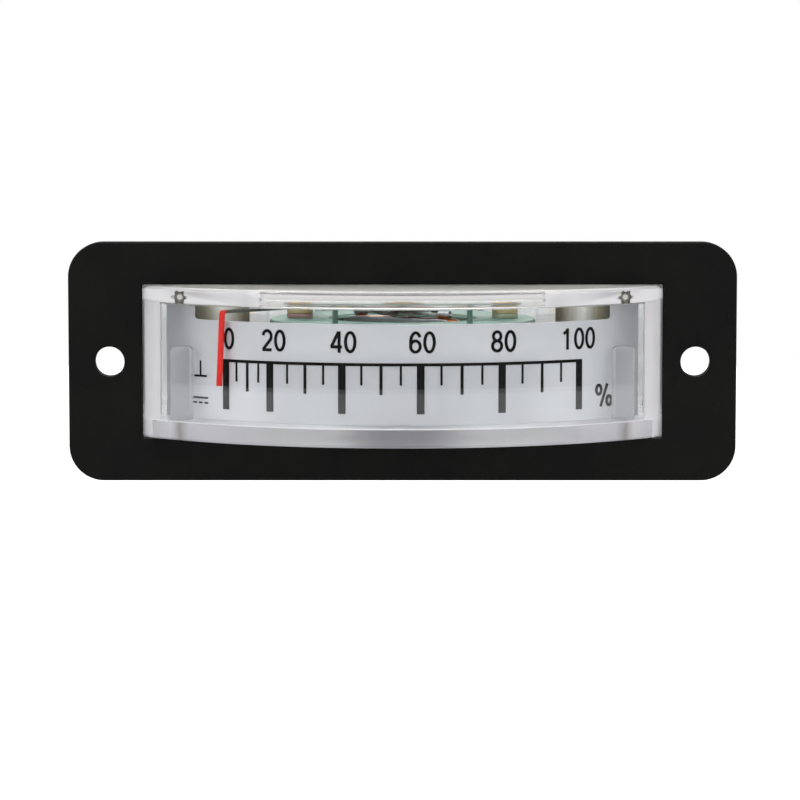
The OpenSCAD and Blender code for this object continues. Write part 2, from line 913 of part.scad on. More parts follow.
// Bent strip: a cranked arm, and a flag that hangs down in front of the dial
module pointer_strip() {
    level_r = 3.2;
    knee_z = arm_end_z - knee_drop;
    bend_z = arm_end_z + arm_t - bend_r;
    face_r = flag_r + bend_r;
    rotate([0, 0, -90])
        rotate([90, 0, 0])
            linear_extrude(height = 2 * arm_root_w, center = true) {
                polygon([[collet_r, hub_z], [level_r, hub_z], [knee_r, knee_z], [flag_r, arm_end_z],
                    [flag_r, arm_end_z + arm_t], [knee_r, knee_z + arm_t], [level_r, hub_top],
                    [collet_r, hub_top]]);
                difference() {
                    translate([flag_r, bend_z])
                        circle(r = bend_r);
                    translate([flag_r, bend_z])
                        circle(r = bend_r - arm_t);
                    translate([flag_r - 2 * bend_r, bend_z - 2 * bend_r])
                        square([2 * bend_r, 4 * bend_r]);
                    translate([flag_r - bend_r, bend_z - 2 * bend_r])
                        square([3 * bend_r, 2 * bend_r]);
                }
                polygon([[face_r - arm_t, bend_z], [face_r, bend_z],
                    [face_r + flag_lean, flag_end_z], [face_r + flag_lean - arm_t, flag_end_z]]);
            }
}

// Pointer with its hub, its tail and its two balance arms
module pointer() {
    reach = dial_r + dial_gap;
    color("#c8232b")
        on_coil()
            difference() {
                union() {
                    intersection() {
                        pointer_strip();
                        translate([0, 0, -half_h])
                            linear_extrude(height = case_h)
                                polygon([[-arm_root_w / 2, 0], [-flag_w / 2, -flag_r],
                                    [-flag_w / 2, -reach], [flag_w / 2, -reach],
                                    [flag_w / 2, -flag_r], [arm_root_w / 2, 0]]);
                    }
                    bar(hub_r, hub_z, hub_top);
                    for (arm = balance_arms)
                        rotate([0, 0, arm[0]])
                            translate([-balance_w / 2, -arm[1], hub_z])
                                cube([balance_w, arm[1], arm_t]);
                }
                bar(pivot_d / 2 + seat_fit, hub_z - eps, hub_top + eps);
            }
}

// Sleeves on the tail and on the balance arms
module balance_weights() {
    end_gap = 0.2;
    color("#a9acae")
        on_coil()
            for (arm = balance_arms)
                rotate([0, 0, arm[0]])
                    translate([0, -arm[1] + end_gap, (hub_z + hub_top) / 2])
                        difference() {
                            rod_y(weight_d / 2, 0, weight_len);
                            translate([-balance_w / 2 - seat_fit, -eps, -arm_t / 2 - seat_fit])
                                cube([balance_w + 2 * seat_fit, weight_len + 2 * eps,
                                    arm_t + 2 * seat_fit]);
                        }
}

// Pins in the yoke's top that catch the pointer past each end mark
module stop_pins() {
    color("#c8a24c")
        on_axis()
            for (s = sides)
                rotate([0, 0, s * stop_angle])
                    translate([0, -yoke_mid_r, 0])
                        bar(stop_d / 2, yoke_top - stop_depth, arm_end_z + arm_t);
}

// Places a rear terminal's piece at both studs
module at_studs() {
    for (s = sides)
        translate([s * stud_x, 0, 0])
            children();
}

module terminal_studs() {
    color("#c8a24c")
        at_studs() {
            rod_y(stud_head_d / 2, head_y, rear_in_y);
            rod_y(stud_d / 2, rear_in_y - eps, stud_y);
        }
}

// Flat ring on a stud
module stud_ring(r, y0, y1) {
    difference() {
        rod_y(r, y0, y1);
        rod_y(stud_d / 2 + bore_fit, y0 - eps, y1 + eps);
    }
}

module terminal_washers() {
    color("#b8bab8")
        at_studs()
            stud_ring(washer_d / 2, case_depth, lug_y);
}

// Tinned lugs: a ring on the stud and a tag with an eye, out to each side
module solder_lugs() {
    eye_rim = 0.9;
    eye_r = eye_d / 2;
    color("#c9ccce")
        for (s = sides)
            difference() {
                upright(lug_y, nut_y) {
                    translate([s * stud_x, 0])
                        circle(d = washer_d);
                    translate([s * (stud_x + eye_reach / 2), 0])
                        square([eye_reach, 2 * (eye_r + eye_rim)], center = true);
                    translate([s * (stud_x + eye_reach), 0])
                        circle(r = eye_r + eye_rim);
                }
                translate([s * stud_x, 0, 0])
                    rod_y(stud_d / 2 + bore_fit, lug_y - eps, nut_y + eps);
                translate([s * (stud_x + eye_reach), 0, 0])
                    rod_y(eye_r, lug_y - eps, nut_y + eps);
            }
}

module terminal_nuts() {
    nut_r = nut_af / sqrt(3);
    color("#c8a24c")
        at_studs()
            difference() {
                translate([0, nut_y, 0])
                    rotate([-90, 0, 0])
                        cylinder(r = nut_r, h = nut_t, $fn = 6);
                rod_y(stud_d / 2 + bore_fit, nut_y - eps, nut_y + nut_t + eps);
            }
}

// Series resistor across the back of the movement
module series_resistor() {
    cap_len = 1.4;
    waist = 0.25;
    color("#c7a77a")
        translate([-resistor_len / 2, resistor_y, 0])
            rotate([0, 90, 0])
                rotate_extrude() {
                    square([resistor_d / 2 - waist, resistor_len]);
                    square([resistor_d / 2, cap_len]);
                    translate([0, resistor_len - cap_len])
                        square([resistor_d / 2, cap_len]);
                }
}

// Bare wires: one to the right stud's head, one up and over the yoke to the bridge
module resistor_leads() {
    end_x = resistor_len / 2 + collet_gap;
    bridge_x = yoke_mid_r - pillar_d / 2;
    wire_z = bridge_z + bridge_t / 2;
    color("#c9ccce") {
        wire([[end_x, resistor_y, 0], [stud_x, resistor_y, 0],
            [stud_x, head_y - collet_gap, 0]]);
        wire([[-end_x, resistor_y, 0], [-bridge_x, resistor_y, 0], [-bridge_x, resistor_y, wire_z],
            [-bridge_x, pivot_y + bridge_w / 2 + collet_gap, wire_z]]);
    }
}

// Wire from the left stud's head down to the base plate's tag
module base_lead() {
    tag_z = floor_z + base_t / 2 + collet_gap;
    stud_z = -stud_head_d / 2 + wire_d;
    lead_y = pivot_y + yoke_r + tag_reach - wire_d;
    color("#7c1d1a")
        wire([[tag_x, head_y - collet_gap, stud_z], [tag_x, lead_y, stud_z], [tag_x, lead_y, tag_z]]);
}

bezel();
upper_case();
lower_case();
dial_plate();
scale_marks();
movement_base();
movement_screws();
side_screens();
yoke_ring();
core_magnet();
core_supports();
lower_jewel_screw();
lower_jewel();
upper_jewel_screw();
upper_jewel();
jewel_lock_nut();
top_bridge();
bridge_pillars();
bridge_screws();
zero_lever();
upper_hairspring();
lower_hairspring();
lower_spring_post();
coil_former();
coil_winding();
upper_pivot();
lower_pivot();
pointer();
balance_weights();
stop_pins();
terminal_studs();
terminal_washers();
solder_lugs();
terminal_nuts();
series_resistor();
resistor_leads();
base_lead();
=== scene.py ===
import json
from math import acos, asin, atan2, cos, degrees, dist, hypot, pi, radians, sin, sqrt, tan

import bmesh
import bpy
from mathutils import Matrix, Vector


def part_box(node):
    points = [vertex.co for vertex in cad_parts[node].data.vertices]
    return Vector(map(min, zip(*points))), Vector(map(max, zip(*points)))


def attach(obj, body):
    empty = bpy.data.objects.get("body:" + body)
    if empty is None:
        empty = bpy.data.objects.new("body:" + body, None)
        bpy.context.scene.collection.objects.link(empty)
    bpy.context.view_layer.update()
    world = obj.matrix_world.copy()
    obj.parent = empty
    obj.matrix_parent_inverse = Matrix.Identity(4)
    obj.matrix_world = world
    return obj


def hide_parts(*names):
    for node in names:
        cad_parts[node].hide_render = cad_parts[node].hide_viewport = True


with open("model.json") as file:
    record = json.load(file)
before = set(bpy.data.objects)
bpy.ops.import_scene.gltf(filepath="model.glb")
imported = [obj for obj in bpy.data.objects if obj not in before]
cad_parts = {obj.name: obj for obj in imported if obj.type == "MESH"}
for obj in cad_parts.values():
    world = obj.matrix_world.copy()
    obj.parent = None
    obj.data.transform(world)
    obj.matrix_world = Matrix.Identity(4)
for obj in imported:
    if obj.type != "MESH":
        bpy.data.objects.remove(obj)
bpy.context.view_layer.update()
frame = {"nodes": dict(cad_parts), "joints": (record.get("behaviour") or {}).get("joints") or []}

scene = bpy.context.scene
mm = 0.001  # pieces are modelled in millimetres and scaled once, when they are placed
joints = {joint["name"]: joint for joint in frame["joints"]}
pivotY = joints["pointer_swing"]["pos_m"][1] / mm


def boxMm(node):
    low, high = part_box(node)
    return low / mm, high / mm


def spanMm(node, axis):
    return [getattr(corner, axis) for corner in boxMm(node)]


print("frame loaded:", len(frame["nodes"]), "nodes")

# Materials: colour, patches, grain and bump all come from object coordinates


def hexToLinear(code):
    parts = [int(code[i:i + 2], 16) / 255 for i in (1, 3, 5)]
    return [p / 12.92 if p <= 0.04045 else ((p + 0.055) / 1.055) ** 2.4 for p in parts] + [1.0]


def setNode(node, inputs):  # an input is a value, an output to link, or a node whose first output is linked
    for key, value in inputs.items():
        source = value.outputs[0] if isinstance(value, bpy.types.Node) else value
        if isinstance(source, bpy.types.NodeSocket):
            node.id_data.links.new(source, node.inputs[key])
        else:
            node.inputs[key].default_value = source
    return node


def addNode(tree, kind, inputs=None, **settings):
    node = tree.nodes.new(kind)
    for key, value in settings.items():
        setattr(node, key, value)
    return setNode(node, inputs or {})


def noise(tree, place, size, detail=2.0):  # size in mm
    return addNode(tree, "ShaderNodeTexNoise", {"Vector": place, "Scale": 1 / (size * mm), "Detail": detail})


def mapRange(tree, value, start, end, low=0.0, high=1.0, **settings):
    return addNode(tree, "ShaderNodeMapRange", {"Value": value, "From Min": start, "From Max": end,
                   "To Min": low, "To Max": high}, **settings)


def combine(tree, how, *inputs):  # one step of arithmetic
    return addNode(tree, "ShaderNodeMath", dict(enumerate(inputs)), operation=how)


def newMaterial(name):
    material = bpy.data.materials.new(name)
    material.use_nodes = True
    return material, material.node_tree, material.node_tree.nodes["Principled BSDF"]


def objectPlace(tree):  # object coordinates: whole, in parts, and the distance from the middle plane
    coords = addNode(tree, "ShaderNodeTexCoord").outputs["Object"]
    parts = addNode(tree, "ShaderNodeSeparateXYZ", {"Vector": coords}).outputs
    return coords, parts, combine(tree, "ABSOLUTE", parts["X"])


def paintRamp(ramp, stops):  # each stop: place from 0 to 1, colour
    spots = ramp.color_ramp.elements
    while len(spots) < len(stops):
        spots.new(0.5)
    for spot, (at, code) in zip(spots, stops):
        spot.position = at
        spot.color = hexToLinear(code)


def makeFinish(name, hexes, rough, metallic=0.0, patch=1.0, grain=0.1, height=0.0, stretch=(1, 1, 1),
               sockets=None):  # patch, grain and height in mm; without hexes the colour follows later
    material, tree, shader = newMaterial(name)
    setNode(shader, {"Metallic": metallic, **(sockets or {})})
    coords = addNode(tree, "ShaderNodeTexCoord").outputs["Object"]
    drawn = addNode(tree, "ShaderNodeMapping", {"Vector": coords, "Scale": stretch})
    if hexes:
        ramp = addNode(tree, "ShaderNodeValToRGB", {"Fac": noise(tree, drawn, patch, 3.0)})
        paintRamp(ramp, [(0.32 + 0.36 * k / (len(hexes) - 1), code) for k, code in enumerate(hexes)])
        setNode(shader, {"Base Color": ramp})
    fine = noise(tree, drawn, grain)
    setNode(shader, {"Roughness": mapRange(tree, fine, 0.3, 0.7, *rough)})
    if height:
        bump = addNode(tree, "ShaderNodeBump", {"Height": fine, "Strength": 0.6, "Distance": height * mm})
        setNode(shader, {"Normal": bump})
    return material


def tintAcross(material, stops, waver=0.0, folded=True, blend="LINEAR"):  # colour by place, stops in mm
    tree = material.node_tree
    coords, parts, aside = objectPlace(tree)
    drift = mapRange(tree, noise(tree, coords, 1.5), 0, 1, -waver * mm, waver * mm)
    place = combine(tree, "ADD", aside if folded else parts["X"], drift)
    first, last = stops[0][0], stops[-1][0]
    ramp = addNode(tree, "ShaderNodeValToRGB", {"Fac": mapRange(tree, place, first * mm, last * mm)})
    ramp.color_ramp.interpolation = blend
    paintRamp(ramp, [((at - first) / (last - first), code) for at, code in stops])
    setNode(tree.nodes["Principled BSDF"], {"Base Color": ramp})


# moulded ABS with a fine spark-eroded skin: black, no clear highlights
mouldedAbs = makeFinish("mouldedAbsBlack", ["#0D0E0D", "#131411"], (0.7, 0.8), patch=6, grain=0.28,
                        height=0.012, sockets={"Specular IOR Level": 0.11})
# satin stove enamel on sheet: cool white, nearly even
dialEnamel = makeFinish("satinEnamelWhite", ["#D6D8DB", "#DADCDF"], (0.42, 0.52), patch=5, grain=0.4,
                        height=0.002, sockets={"Specular IOR Level": 0.35})
# painted shade: the field behind the scale is a shade greyer, fading out towards the ends and the top
paintedShadeField = {"colour": "#C6C8CB", "halfWidth": (16.0, 11.0), "height": (2.0, -0.3)}
tree = dialEnamel.node_tree
parts, aside = objectPlace(tree)[1:]
fades = [mapRange(tree, source, start * mm, end * mm, interpolation_type="SMOOTHSTEP")
         for source, (start, end) in ((aside, paintedShadeField["halfWidth"]), (parts["Z"], paintedShadeField["height"]))]
enamel = tree.nodes["Principled BSDF"]
plain = enamel.inputs["Base Color"].links[0].from_socket
paintedShadeMix = addNode(tree, "ShaderNodeMix", {0: combine(tree, "MULTIPLY", *fades), 6: plain,
                  7: hexToLinear(paintedShadeField["colour"])}, data_type="RGBA")
setNode(enamel, {"Base Color": paintedShadeMix.outputs[2]})
# screen-printed ink: dead flat black with a faint edge of grey
screenInk = makeFinish("screenInkBlack", ["#0B0B0B", "#121211"], (0.6, 0.7), patch=0.6,
                       sockets={"Specular IOR Level": 0.15})
# signal-red enamel on the pointer's flag: bright, half gloss
flagEnamel = makeFinish("flagEnamelRed", ["#E81C0E", "#F12412"], (0.3, 0.4), patch=0.8, grain=0.2)
# grey anodised aluminium strip of the pointer's arm
greyStrip = makeFinish("anodisedAluminium", ["#5A5C57", "#6A6C66"], (0.4, 0.55), 0.2)
# pale grey lacquer on the pointer's hub and balance arms
paleLacquer = makeFinish("paleGreyLacquer", ["#9A9C97", "#A8AAA5"], (0.45, 0.6))
# blue-green passivated zinc on iron: thin film that drifts in hue, rolled grain round the ring
passivatedZinc = makeFinish("passivatedZincIron", ["#5A7A70", "#66847A", "#748A7B", "#627F80"], (0.5, 0.65),
                            0.4, patch=4, grain=0.12, height=0.002, stretch=(1, 1, 3))
# zinc die casting: pale grey, faint flow marks
dieCast = makeFinish("dieCastZinc", ["#8F918D", "#A3A5A1"], (0.42, 0.58), 0.8, patch=2, grain=0.2,
                     height=0.004)
# ground magnet steel: mid grey, fine scratches across
groundMagnet = makeFinish("groundMagnetSteel", ["#666C6C", "#7E8583"], (0.35, 0.5), 0.8, patch=1.2,
                          grain=0.06, height=0.002, stretch=(0.15, 1, 1))
# turned brass: warm yellow, slight tarnish in patches
turnedBrass = makeFinish("turnedBrass", ["#B98F3E", "#CFA956", "#C79C48"], (0.22, 0.36), 1.0, patch=1.2,
                         grain=0.08, height=0.0015)
# rolled phosphor bronze: red-brown spring strip
springBronze = makeFinish("rolledBronze", ["#A8733C", "#B98449"], (0.25, 0.35), 1.0, grain=0.08)
# pressed aluminium sheet
pressedAluminium = makeFinish("pressedAluminium", ["#C2C6C9", "#D2D5D7"], (0.25, 0.38), 1.0, grain=0.07,
                              height=0.001, stretch=(1, 0.2, 1))
# enamelled copper wire: deep copper under clear lacquer
copperWire = makeFinish("enamelledCopper", ["#9C4F22", "#B5652F"], (0.28, 0.4), 0.9, patch=0.8,
                        sockets={"Coat Weight": 0.4, "Coat Roughness": 0.15})
# hardened and polished pivot steel
pivotSteel = makeFinish("polishedSteel", ["#B9B7AE", "#C9C7BF"], (0.12, 0.2), 1.0, patch=0.8, grain=0.06)
# yellow passivated zinc on sheet steel, dull beige, with a painted reflection across each screen: a bright
# band, and olive edges darkened as painted shade
yellowZincPaintedReflection = makeFinish("yellowPassivatedZinc", None, (0.34, 0.48), 0.5, grain=0.14, height=0.002,
                        stretch=(0.1, 1, 0.06))
tintAcross(yellowZincPaintedReflection, [(17.3, "#5C5745"), (19.3, "#FFFEFA"), (20.5, "#978F77"), (21.6, "#332F24")], 0.3)
# bright zinc on steel hardware
brightZinc = makeFinish("brightZincSteel", ["#B4B8BB", "#C6CACC"], (0.22, 0.35), 1.0, height=0.001)
# moulded phenolic: red-brown, dull
phenolic = makeFinish("mouldedPhenolic", ["#8F7068", "#9C7F78"], (0.4, 0.55), grain=0.12, height=0.003)
# the washer of the other side: dyed grey-green
greenPhenolic = makeFinish("mouldedPhenolicGreen", ["#929A7E", "#9DA48A"], (0.4, 0.55), grain=0.12,
                           height=0.003)
# brass spacers gone dull: pale, half matte
dullBrass = makeFinish("dullBrass", ["#B8A878", "#C9BA90"], (0.38, 0.5), 0.4)
# hot-tinned copper: soft white metal
tinnedCopper = makeFinish("tinnedCopper", ["#BFC2C4", "#D3D5D6"], (0.25, 0.42), 1.0, grain=0.15, height=0.003)
# extruded silicone sleeve on the lead
leadSleeve = makeFinish("extrudedSleeveRed", ["#7B1714", "#8C1F1A"], (0.45, 0.55), patch=1.5, grain=0.2)
# polished synthetic ruby
ruby = makeFinish("polishedRuby", ["#9C1238", "#B81C48"], (0.06, 0.1), patch=0.6)
styreneIor = 1.55


def makeClear(name, code, rough, through=1.0, shade=0.945):  # shade: the light that its shadow lets through
    material, tree, shader = newMaterial(name)
    coords = addNode(tree, "ShaderNodeTexCoord").outputs["Object"]
    setNode(shader, {"Base Color": hexToLinear(code), "Transmission Weight": through, "IOR": styreneIor,
                     "Roughness": mapRange(tree, noise(tree, coords, 4), 0, 1, *rough)})
    shadowRay = addNode(tree, "ShaderNodeLightPath").outputs["Is Shadow Ray"]
    clear = addNode(tree, "ShaderNodeBsdfTransparent", {"Color": (shade, shade, shade, 1)})
    mixed = addNode(tree, "ShaderNodeMixShader", {0: shadowRay, 1: shader, 2: clear})
    setNode(tree.nodes["Material Output"], {"Surface": mixed})
    return material


# injection-moulded polystyrene, polished tool: clear with a faint flow haze
clearStyrene = makeClear("clearPolystyrene", "#F8F9FA", (0.004, 0.014))
# the same moulding's spark-eroded sides, inside the bezel: milky, light spreads in them
satinStyrene = makeClear("satinPolystyrene", "#FAFAFB", (0.5, 0.65), 0.1, 0.3)
# the rim of its front: half milky
hazedStyrene = makeClear("hazedPolystyrene", "#F6F4F6", (0.08, 0.14), 0.42, 0.8)
# the middle of that rim: a thin mist
mistedStyrene = makeClear("mistedPolystyrene", "#F3F0EE", (0.06, 0.1), 0.84, 0.85)
# the top of its roof: frosted
frostedStyrene = makeClear("frostedPolystyrene", "#F0EEE8", (0.3, 0.42), 0.68, 0.8)
# dark styrene in the moulding dimples: a painted dark reflection
darkReflectionStyrene = makeClear("scorchedPolystyrene", "#7A7668", (0.3, 0.4), 0.6, 0.8)
# the lower moulding, from a duller tool: light blurs in it. Across its lip runs a painted reflection: greyer
# in the middle and towards the posts, white either side, darkest and brown-grey at each post's foot
dullStyrenePaintedReflection = makeClear("dullPolystyrene", "#E6E4EC", (0.25, 0.35), 0.86)
tintAcross(dullStyrenePaintedReflection, [(2, "#C6C4CC"), (7, "#FFFFFF"), (21.3, "#D6D4DC"), (22.2, "#8F8882"),
                         (23.2, "#FAF8FC")], 0.2)
# the posts of that moulding: nearly colourless
postStyrene = makeClear("postPolystyrene", "#EEEFF1", (0.03, 0.08), 0.9)
print("materials made:", len(bpy.data.materials))

# Shared shapes, in millimetres


def cleanMesh(mesh):
    work = bmesh.new()
    work.from_mesh(mesh)
    bmesh.ops.remove_doubles(work, verts=work.verts, dist=1e-4)
    bmesh.ops.dissolve_degenerate(work, edges=work.edges, dist=1e-5)
    loose = [edge for edge in work.edges if not edge.link_faces]
    bmesh.ops.delete(work, geom=loose, context="EDGES")
    bmesh.ops.recalc_face_normals(work, faces=work.faces)
    work.to_mesh(mesh)
    work.free()
    return mesh


def evaluated(obj):  # a copy of its mesh with the modifiers applied
    deps = bpy.context.evaluated_depsgraph_get()
    return bpy.data.meshes.new_from_object(obj.evaluated_get(deps), depsgraph=deps)


def meshFrom(obj):
    scene.collection.objects.link(obj)
    mesh = evaluated(obj)
    bpy.data.objects.remove(obj)
    return cleanMesh(mesh)


def skinMesh(rows, closed=False):  # faces between rings of points, and caps where the rings don't close
    work = bmesh.new()
    rings = [[work.verts.new(point) for point in points] for points in rows]
    for here, there in zip(rings, rings[1:] + (rings[:1] if closed else [])):
        for i in range(len(here)):
            j = (i + 1) % len(here)
            work.faces.new((here[i], there[i], there[j], here[j]))
    if not closed:
        work.faces.new(rings[0][::-1])
        work.faces.new(rings[-1])
    mesh = bpy.data.meshes.new("skin")
    work.to_mesh(mesh)
    work.free()
    return cleanMesh(mesh)


def circleLoop(radius, steps=48, x=0, y=0, start=0, sweep=360):
    count = steps if sweep == 360 else steps + 1
    angles = [radians(start + sweep * k / steps) for k in range(count)]
    return [(x + radius * cos(a), y + radius * sin(a)) for a in angles]


def rectLoop(width, height, radius, x=0, y=0, steps=8):
    across, up = width / 2 - radius, height / 2 - radius
    loop = []
    for sx, sy, start in ((1, 1, 0), (-1, 1, 90), (-1, -1, 180), (1, -1, 270)):
        loop += circleLoop(radius, steps, x + sx * across, y + sy * up, start, 90)
    return loop


def addSpline(curve, points, closed):
    spline = curve.splines.new("POLY")
    spline.points.add(len(points) - 1)
    spline.use_cyclic_u = closed
    for spot, place in zip(spline.points, points):
        spot.co = (*place, 1)


def plateMesh(loops, low, high, edge, upright=False, rounds=2):  # flat plate with rounded edges
    curve = bpy.data.curves.new("plate", "CURVE")
    curve.dimensions = "2D"
    curve.fill_mode = "BOTH"
    curve.extrude = (high - low) / 2 - edge
    curve.bevel_depth = edge
    curve.bevel_resolution = rounds
    curve.offset = -edge
    for loop in loops:
        addSpline(curve, [(x, y, 0) for x, y in loop], True)
    mesh = meshFrom(bpy.data.objects.new("plate", curve))
    middle = (low + high) / 2
    # upright: loops are x and z, low and high are y
    mesh.transform(shift(0, middle, 0) @ turned(90, "X") if upright else shift(0, 0, middle))
    return mesh


def blockMesh(low, high, edge=0.05):
    width, depth = high[0] - low[0], high[1] - low[1]
    loop = rectLoop(width, depth, edge, (low[0] + high[0]) / 2, (low[1] + high[1]) / 2, 3)
    return plateMesh([loop], low[2], high[2], edge, rounds=1)


def turnMesh(profile, steps=64, alongY=False):  # closed profile of radius and height, spun
    angles = [2 * pi * k / steps for k in range(steps)]
    mesh = skinMesh([[(r * cos(a), r * sin(a), z) for r, z in profile] for a in angles], True)
    if alongY:
        mesh.transform(turned(-90, "X"))
    return mesh


def rodProfile(radius, low, high, edge, bore=0, rounds=3):
    turnsUp = [pi / 2 * k / rounds for k in range(rounds + 1)]
    profile = [(bore + edge, low) if bore else (0, low)]
    profile += [(radius - edge + edge * sin(a), low + edge - edge * cos(a)) for a in turnsUp]
    profile += [(radius - edge + edge * cos(a), high - edge + edge * sin(a)) for a in turnsUp]
    profile += [(bore + edge, high), (bore, high - edge), (bore, low + edge)] if bore else [(0, high)]
    return profile


def rodMesh(radius, low, high, edge, steps, bore=0, alongY=False):
    return turnMesh(rodProfile(radius, low, high, edge, bore), steps, alongY)


def sectorMesh(inner, outer, low, high, middle, span, steps=24):  # part of a ring, angles from straight ahead
    corners = ((outer, low), (outer, high), (inner, high), (inner, low))
    angles = [radians(middle - span / 2 + span * k / steps) for k in range(steps + 1)]
    return skinMesh([[(r * sin(a), -r * cos(a), z) for r, z in corners] for a in angles])


def softPath(points, bend, steps=6):  # rounds each corner of a route
    points = [Vector(p) for p in points]
    route = [points[0]]
    for before, here, after in zip(points, points[1:], points[2:]):
        reach = min(bend, (before - here).length / 2.2, (after - here).length / 2.2)
        start = here + (before - here).normalized() * reach
        end = here + (after - here).normalized() * reach
        for k in range(steps + 1):
            t = k / steps
            route.append(start * (1 - t) ** 2 + here * 2 * t * (1 - t) + end * t ** 2)
    return route + [points[-1]]


def wireMesh(route, radius, sides=3, closed=False):
    curve = bpy.data.curves.new("wire", "CURVE")
    curve.dimensions = "3D"
    curve.bevel_depth = radius
    curve.bevel_resolution = sides
    curve.use_fill_caps = not closed
    addSpline(curve, route, closed)
    return meshFrom(bpy.data.objects.new("wire", curve))


def carve(mesh, tools, how="DIFFERENCE"):
    body = bpy.data.objects.new("carved", mesh)
    helpers = [bpy.data.objects.new("tool", tool) for tool in tools]
    for helper in helpers:
        scene.collection.objects.link(helper)
        step = body.modifiers.new("carve", "BOOLEAN")
        step.operation = how
        step.solver = "EXACT"
        step.object = helper
    result = meshFrom(body)
    for helper in helpers:
        bpy.data.objects.remove(helper)
    return result


def moved(mesh, matrix):
    copy = mesh.copy()
    copy.transform(matrix)
    if matrix.determinant() < 0:
        copy.flip_normals()
    return copy


def shift(x, y, z):
    return Matrix.Translation((x, y, z))


def turned(angle, axis="Z"):  # in degrees
    return Matrix.Rotation(radians(angle), 4, axis)


mirror = Matrix.Scale(-1, 4, (1, 0, 0))
onAxis = shift(0, pivotY, 0)
ease = 0.03  # play between pieces that fit into each other


def bakeModifiers(piece):
    piece.data = evaluated(piece)
    piece.modifiers.clear()


def placePiece(name, meshes, finish, node, at=Matrix(), body="frame", bevel=0):
    work = bmesh.new()
    for mesh in meshes:
        work.from_mesh(moved(mesh, at))
    data = bpy.data.meshes.new(name)
    finishes = finish if isinstance(finish, list) else [finish]
    for entry in finishes:
        data.materials.append(entry)
    work.to_mesh(data)
    work.free()
    if len(finishes) == 1:
        data.polygons.foreach_set("material_index", [0] * len(data.polygons))
    data.transform(Matrix.Scale(mm, 4))
    data.shade_smooth()
    piece = bpy.data.objects.new(name, data)
    scene.collection.objects.link(piece)
    if bevel:
        edges = piece.modifiers.new("edges", "BEVEL")
        edges.width = bevel * mm
        edges.segments = 2
        edges.limit_method = "ANGLE"
        edges.angle_limit = radians(50)
        bakeModifiers(piece)
    piece.data.set_sharp_from_angle(angle=radians(34))
    piece.modifiers.new("even", "WEIGHTED_NORMAL").keep_sharp = True
    bakeModifiers(piece)
    piece.data.name = name
    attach(piece, body)
    if node:
        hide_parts(node)


# Geometry Nodes: each tree ends in real geometry with its finish


def openTree(name, inputs):
    tree = bpy.data.node_groups.new(name, "GeometryNodeTree")
    for label, kind in inputs.items():
        tree.interface.new_socket(label, in_out="INPUT", socket_type="NodeSocket" + kind)
    tree.interface.new_socket("Geometry", in_out="OUTPUT", socket_type="NodeSocketGeometry")
    return tree, addNode(tree, "NodeGroupInput").outputs


def closeTree(tree, shape, finish):
    real = addNode(tree, "GeometryNodeRealizeInstances", {"Geometry": shape})
    coat = addNode(tree, "GeometryNodeSetMaterial", {"Geometry": real, "Material": finish})
    addNode(tree, "NodeGroupOutput", {"Geometry": coat})


# Row: copies of one shape along a line, each turned a little at random
rowTree, source = openTree("rowOfPieces", {"Geometry": "Geometry", "Count": "Int", "Start": "Vector",
                           "Step": "Vector", "Turn": "Vector", "Seed": "Int", "Finish": "Material"})
line = addNode(rowTree, "GeometryNodeMeshLine", {"Count": source["Count"], "Start Location": source["Start"],
               "Offset": source["Step"]})
turn = addNode(rowTree, "FunctionNodeRandomValue", {1: source["Turn"], "Seed": source["Seed"]},
               data_type="FLOAT_VECTOR")
copies = addNode(rowTree, "GeometryNodeInstanceOnPoints", {"Points": line, "Instance": source["Geometry"],
                 "Rotation": turn})
closeTree(rowTree, copies, source["Finish"])

# Printed marks: a unit block on each point, sized and turned by the point's own values
marksTree, source = openTree("printedMarks", {"Geometry": "Geometry", "Ink Thickness": "Float",
                             "Finish": "Material"})
width, length, angle = [addNode(marksTree, "GeometryNodeInputNamedAttribute", {"Name": label})
                        for label in ("markWidth", "markLength", "markAngle")]
size = addNode(marksTree, "ShaderNodeCombineXYZ", {"X": width, "Y": source["Ink Thickness"], "Z": length})
turn = addNode(marksTree, "ShaderNodeCombineXYZ", {"Z": angle})
block = addNode(marksTree, "GeometryNodeMeshCube", {"Size": (1, 1, 1)})
copies = addNode(marksTree, "GeometryNodeInstanceOnPoints", {"Points": source["Geometry"], "Instance": block,
                 "Rotation": turn, "Scale": size})
closeTree(marksTree, copies, source["Finish"])

# Hairspring: a flat spiral with a strip section
springTree, source = openTree("hairspring", {"Turns": "Float", "Inner Radius": "Float",
                              "Outer Radius": "Float", "Strip Thickness": "Float", "Strip Width": "Float",
                              "Finish": "Material"})
spiral = addNode(springTree, "GeometryNodeCurveSpiral", {"Rotations": source["Turns"], "Resolution": 64,
                 "Start Radius": source["Inner Radius"], "End Radius": source["Outer Radius"], "Height": 0.0})
flat = addNode(springTree, "GeometryNodeSetCurveNormal", {"Curve": spiral}, mode="Z_UP")
strip = addNode(springTree, "GeometryNodeCurvePrimitiveQuadrilateral",
                {"Width": source["Strip Thickness"], "Height": source["Strip Width"]})
wound = addNode(springTree, "GeometryNodeCurveToMesh", {"Curve": flat, "Profile Curve": strip,
                "Fill Caps": True})
closeTree(springTree, wound, source["Finish"])


def grow(mesh, tree, values):  # runs a node tree on a mesh and returns the plain result
    obj = bpy.data.objects.new("grown", mesh)
    step = obj.modifiers.new("grown", "NODES")
    step.node_group = tree
    sockets = {item.name: item.identifier for item in tree.interface.items_tree if item.in_out == "INPUT"}
    for key, value in values.items():
        step[sockets[key]] = value
    return meshFrom(obj)


def row(mesh, count, start, step, finish, turn=(0, 0, 0), seed=3):
    return grow(mesh, rowTree, {"Count": count, "Start": start, "Step": step, "Turn": turn, "Seed": seed,
                                "Finish": finish})


def pair(mesh, x, y, z, finish, turn=(0, 0, 0), seed=3):
    return row(mesh, 2, (-x, y, z), (2 * x, 0, 0), finish, turn, seed)


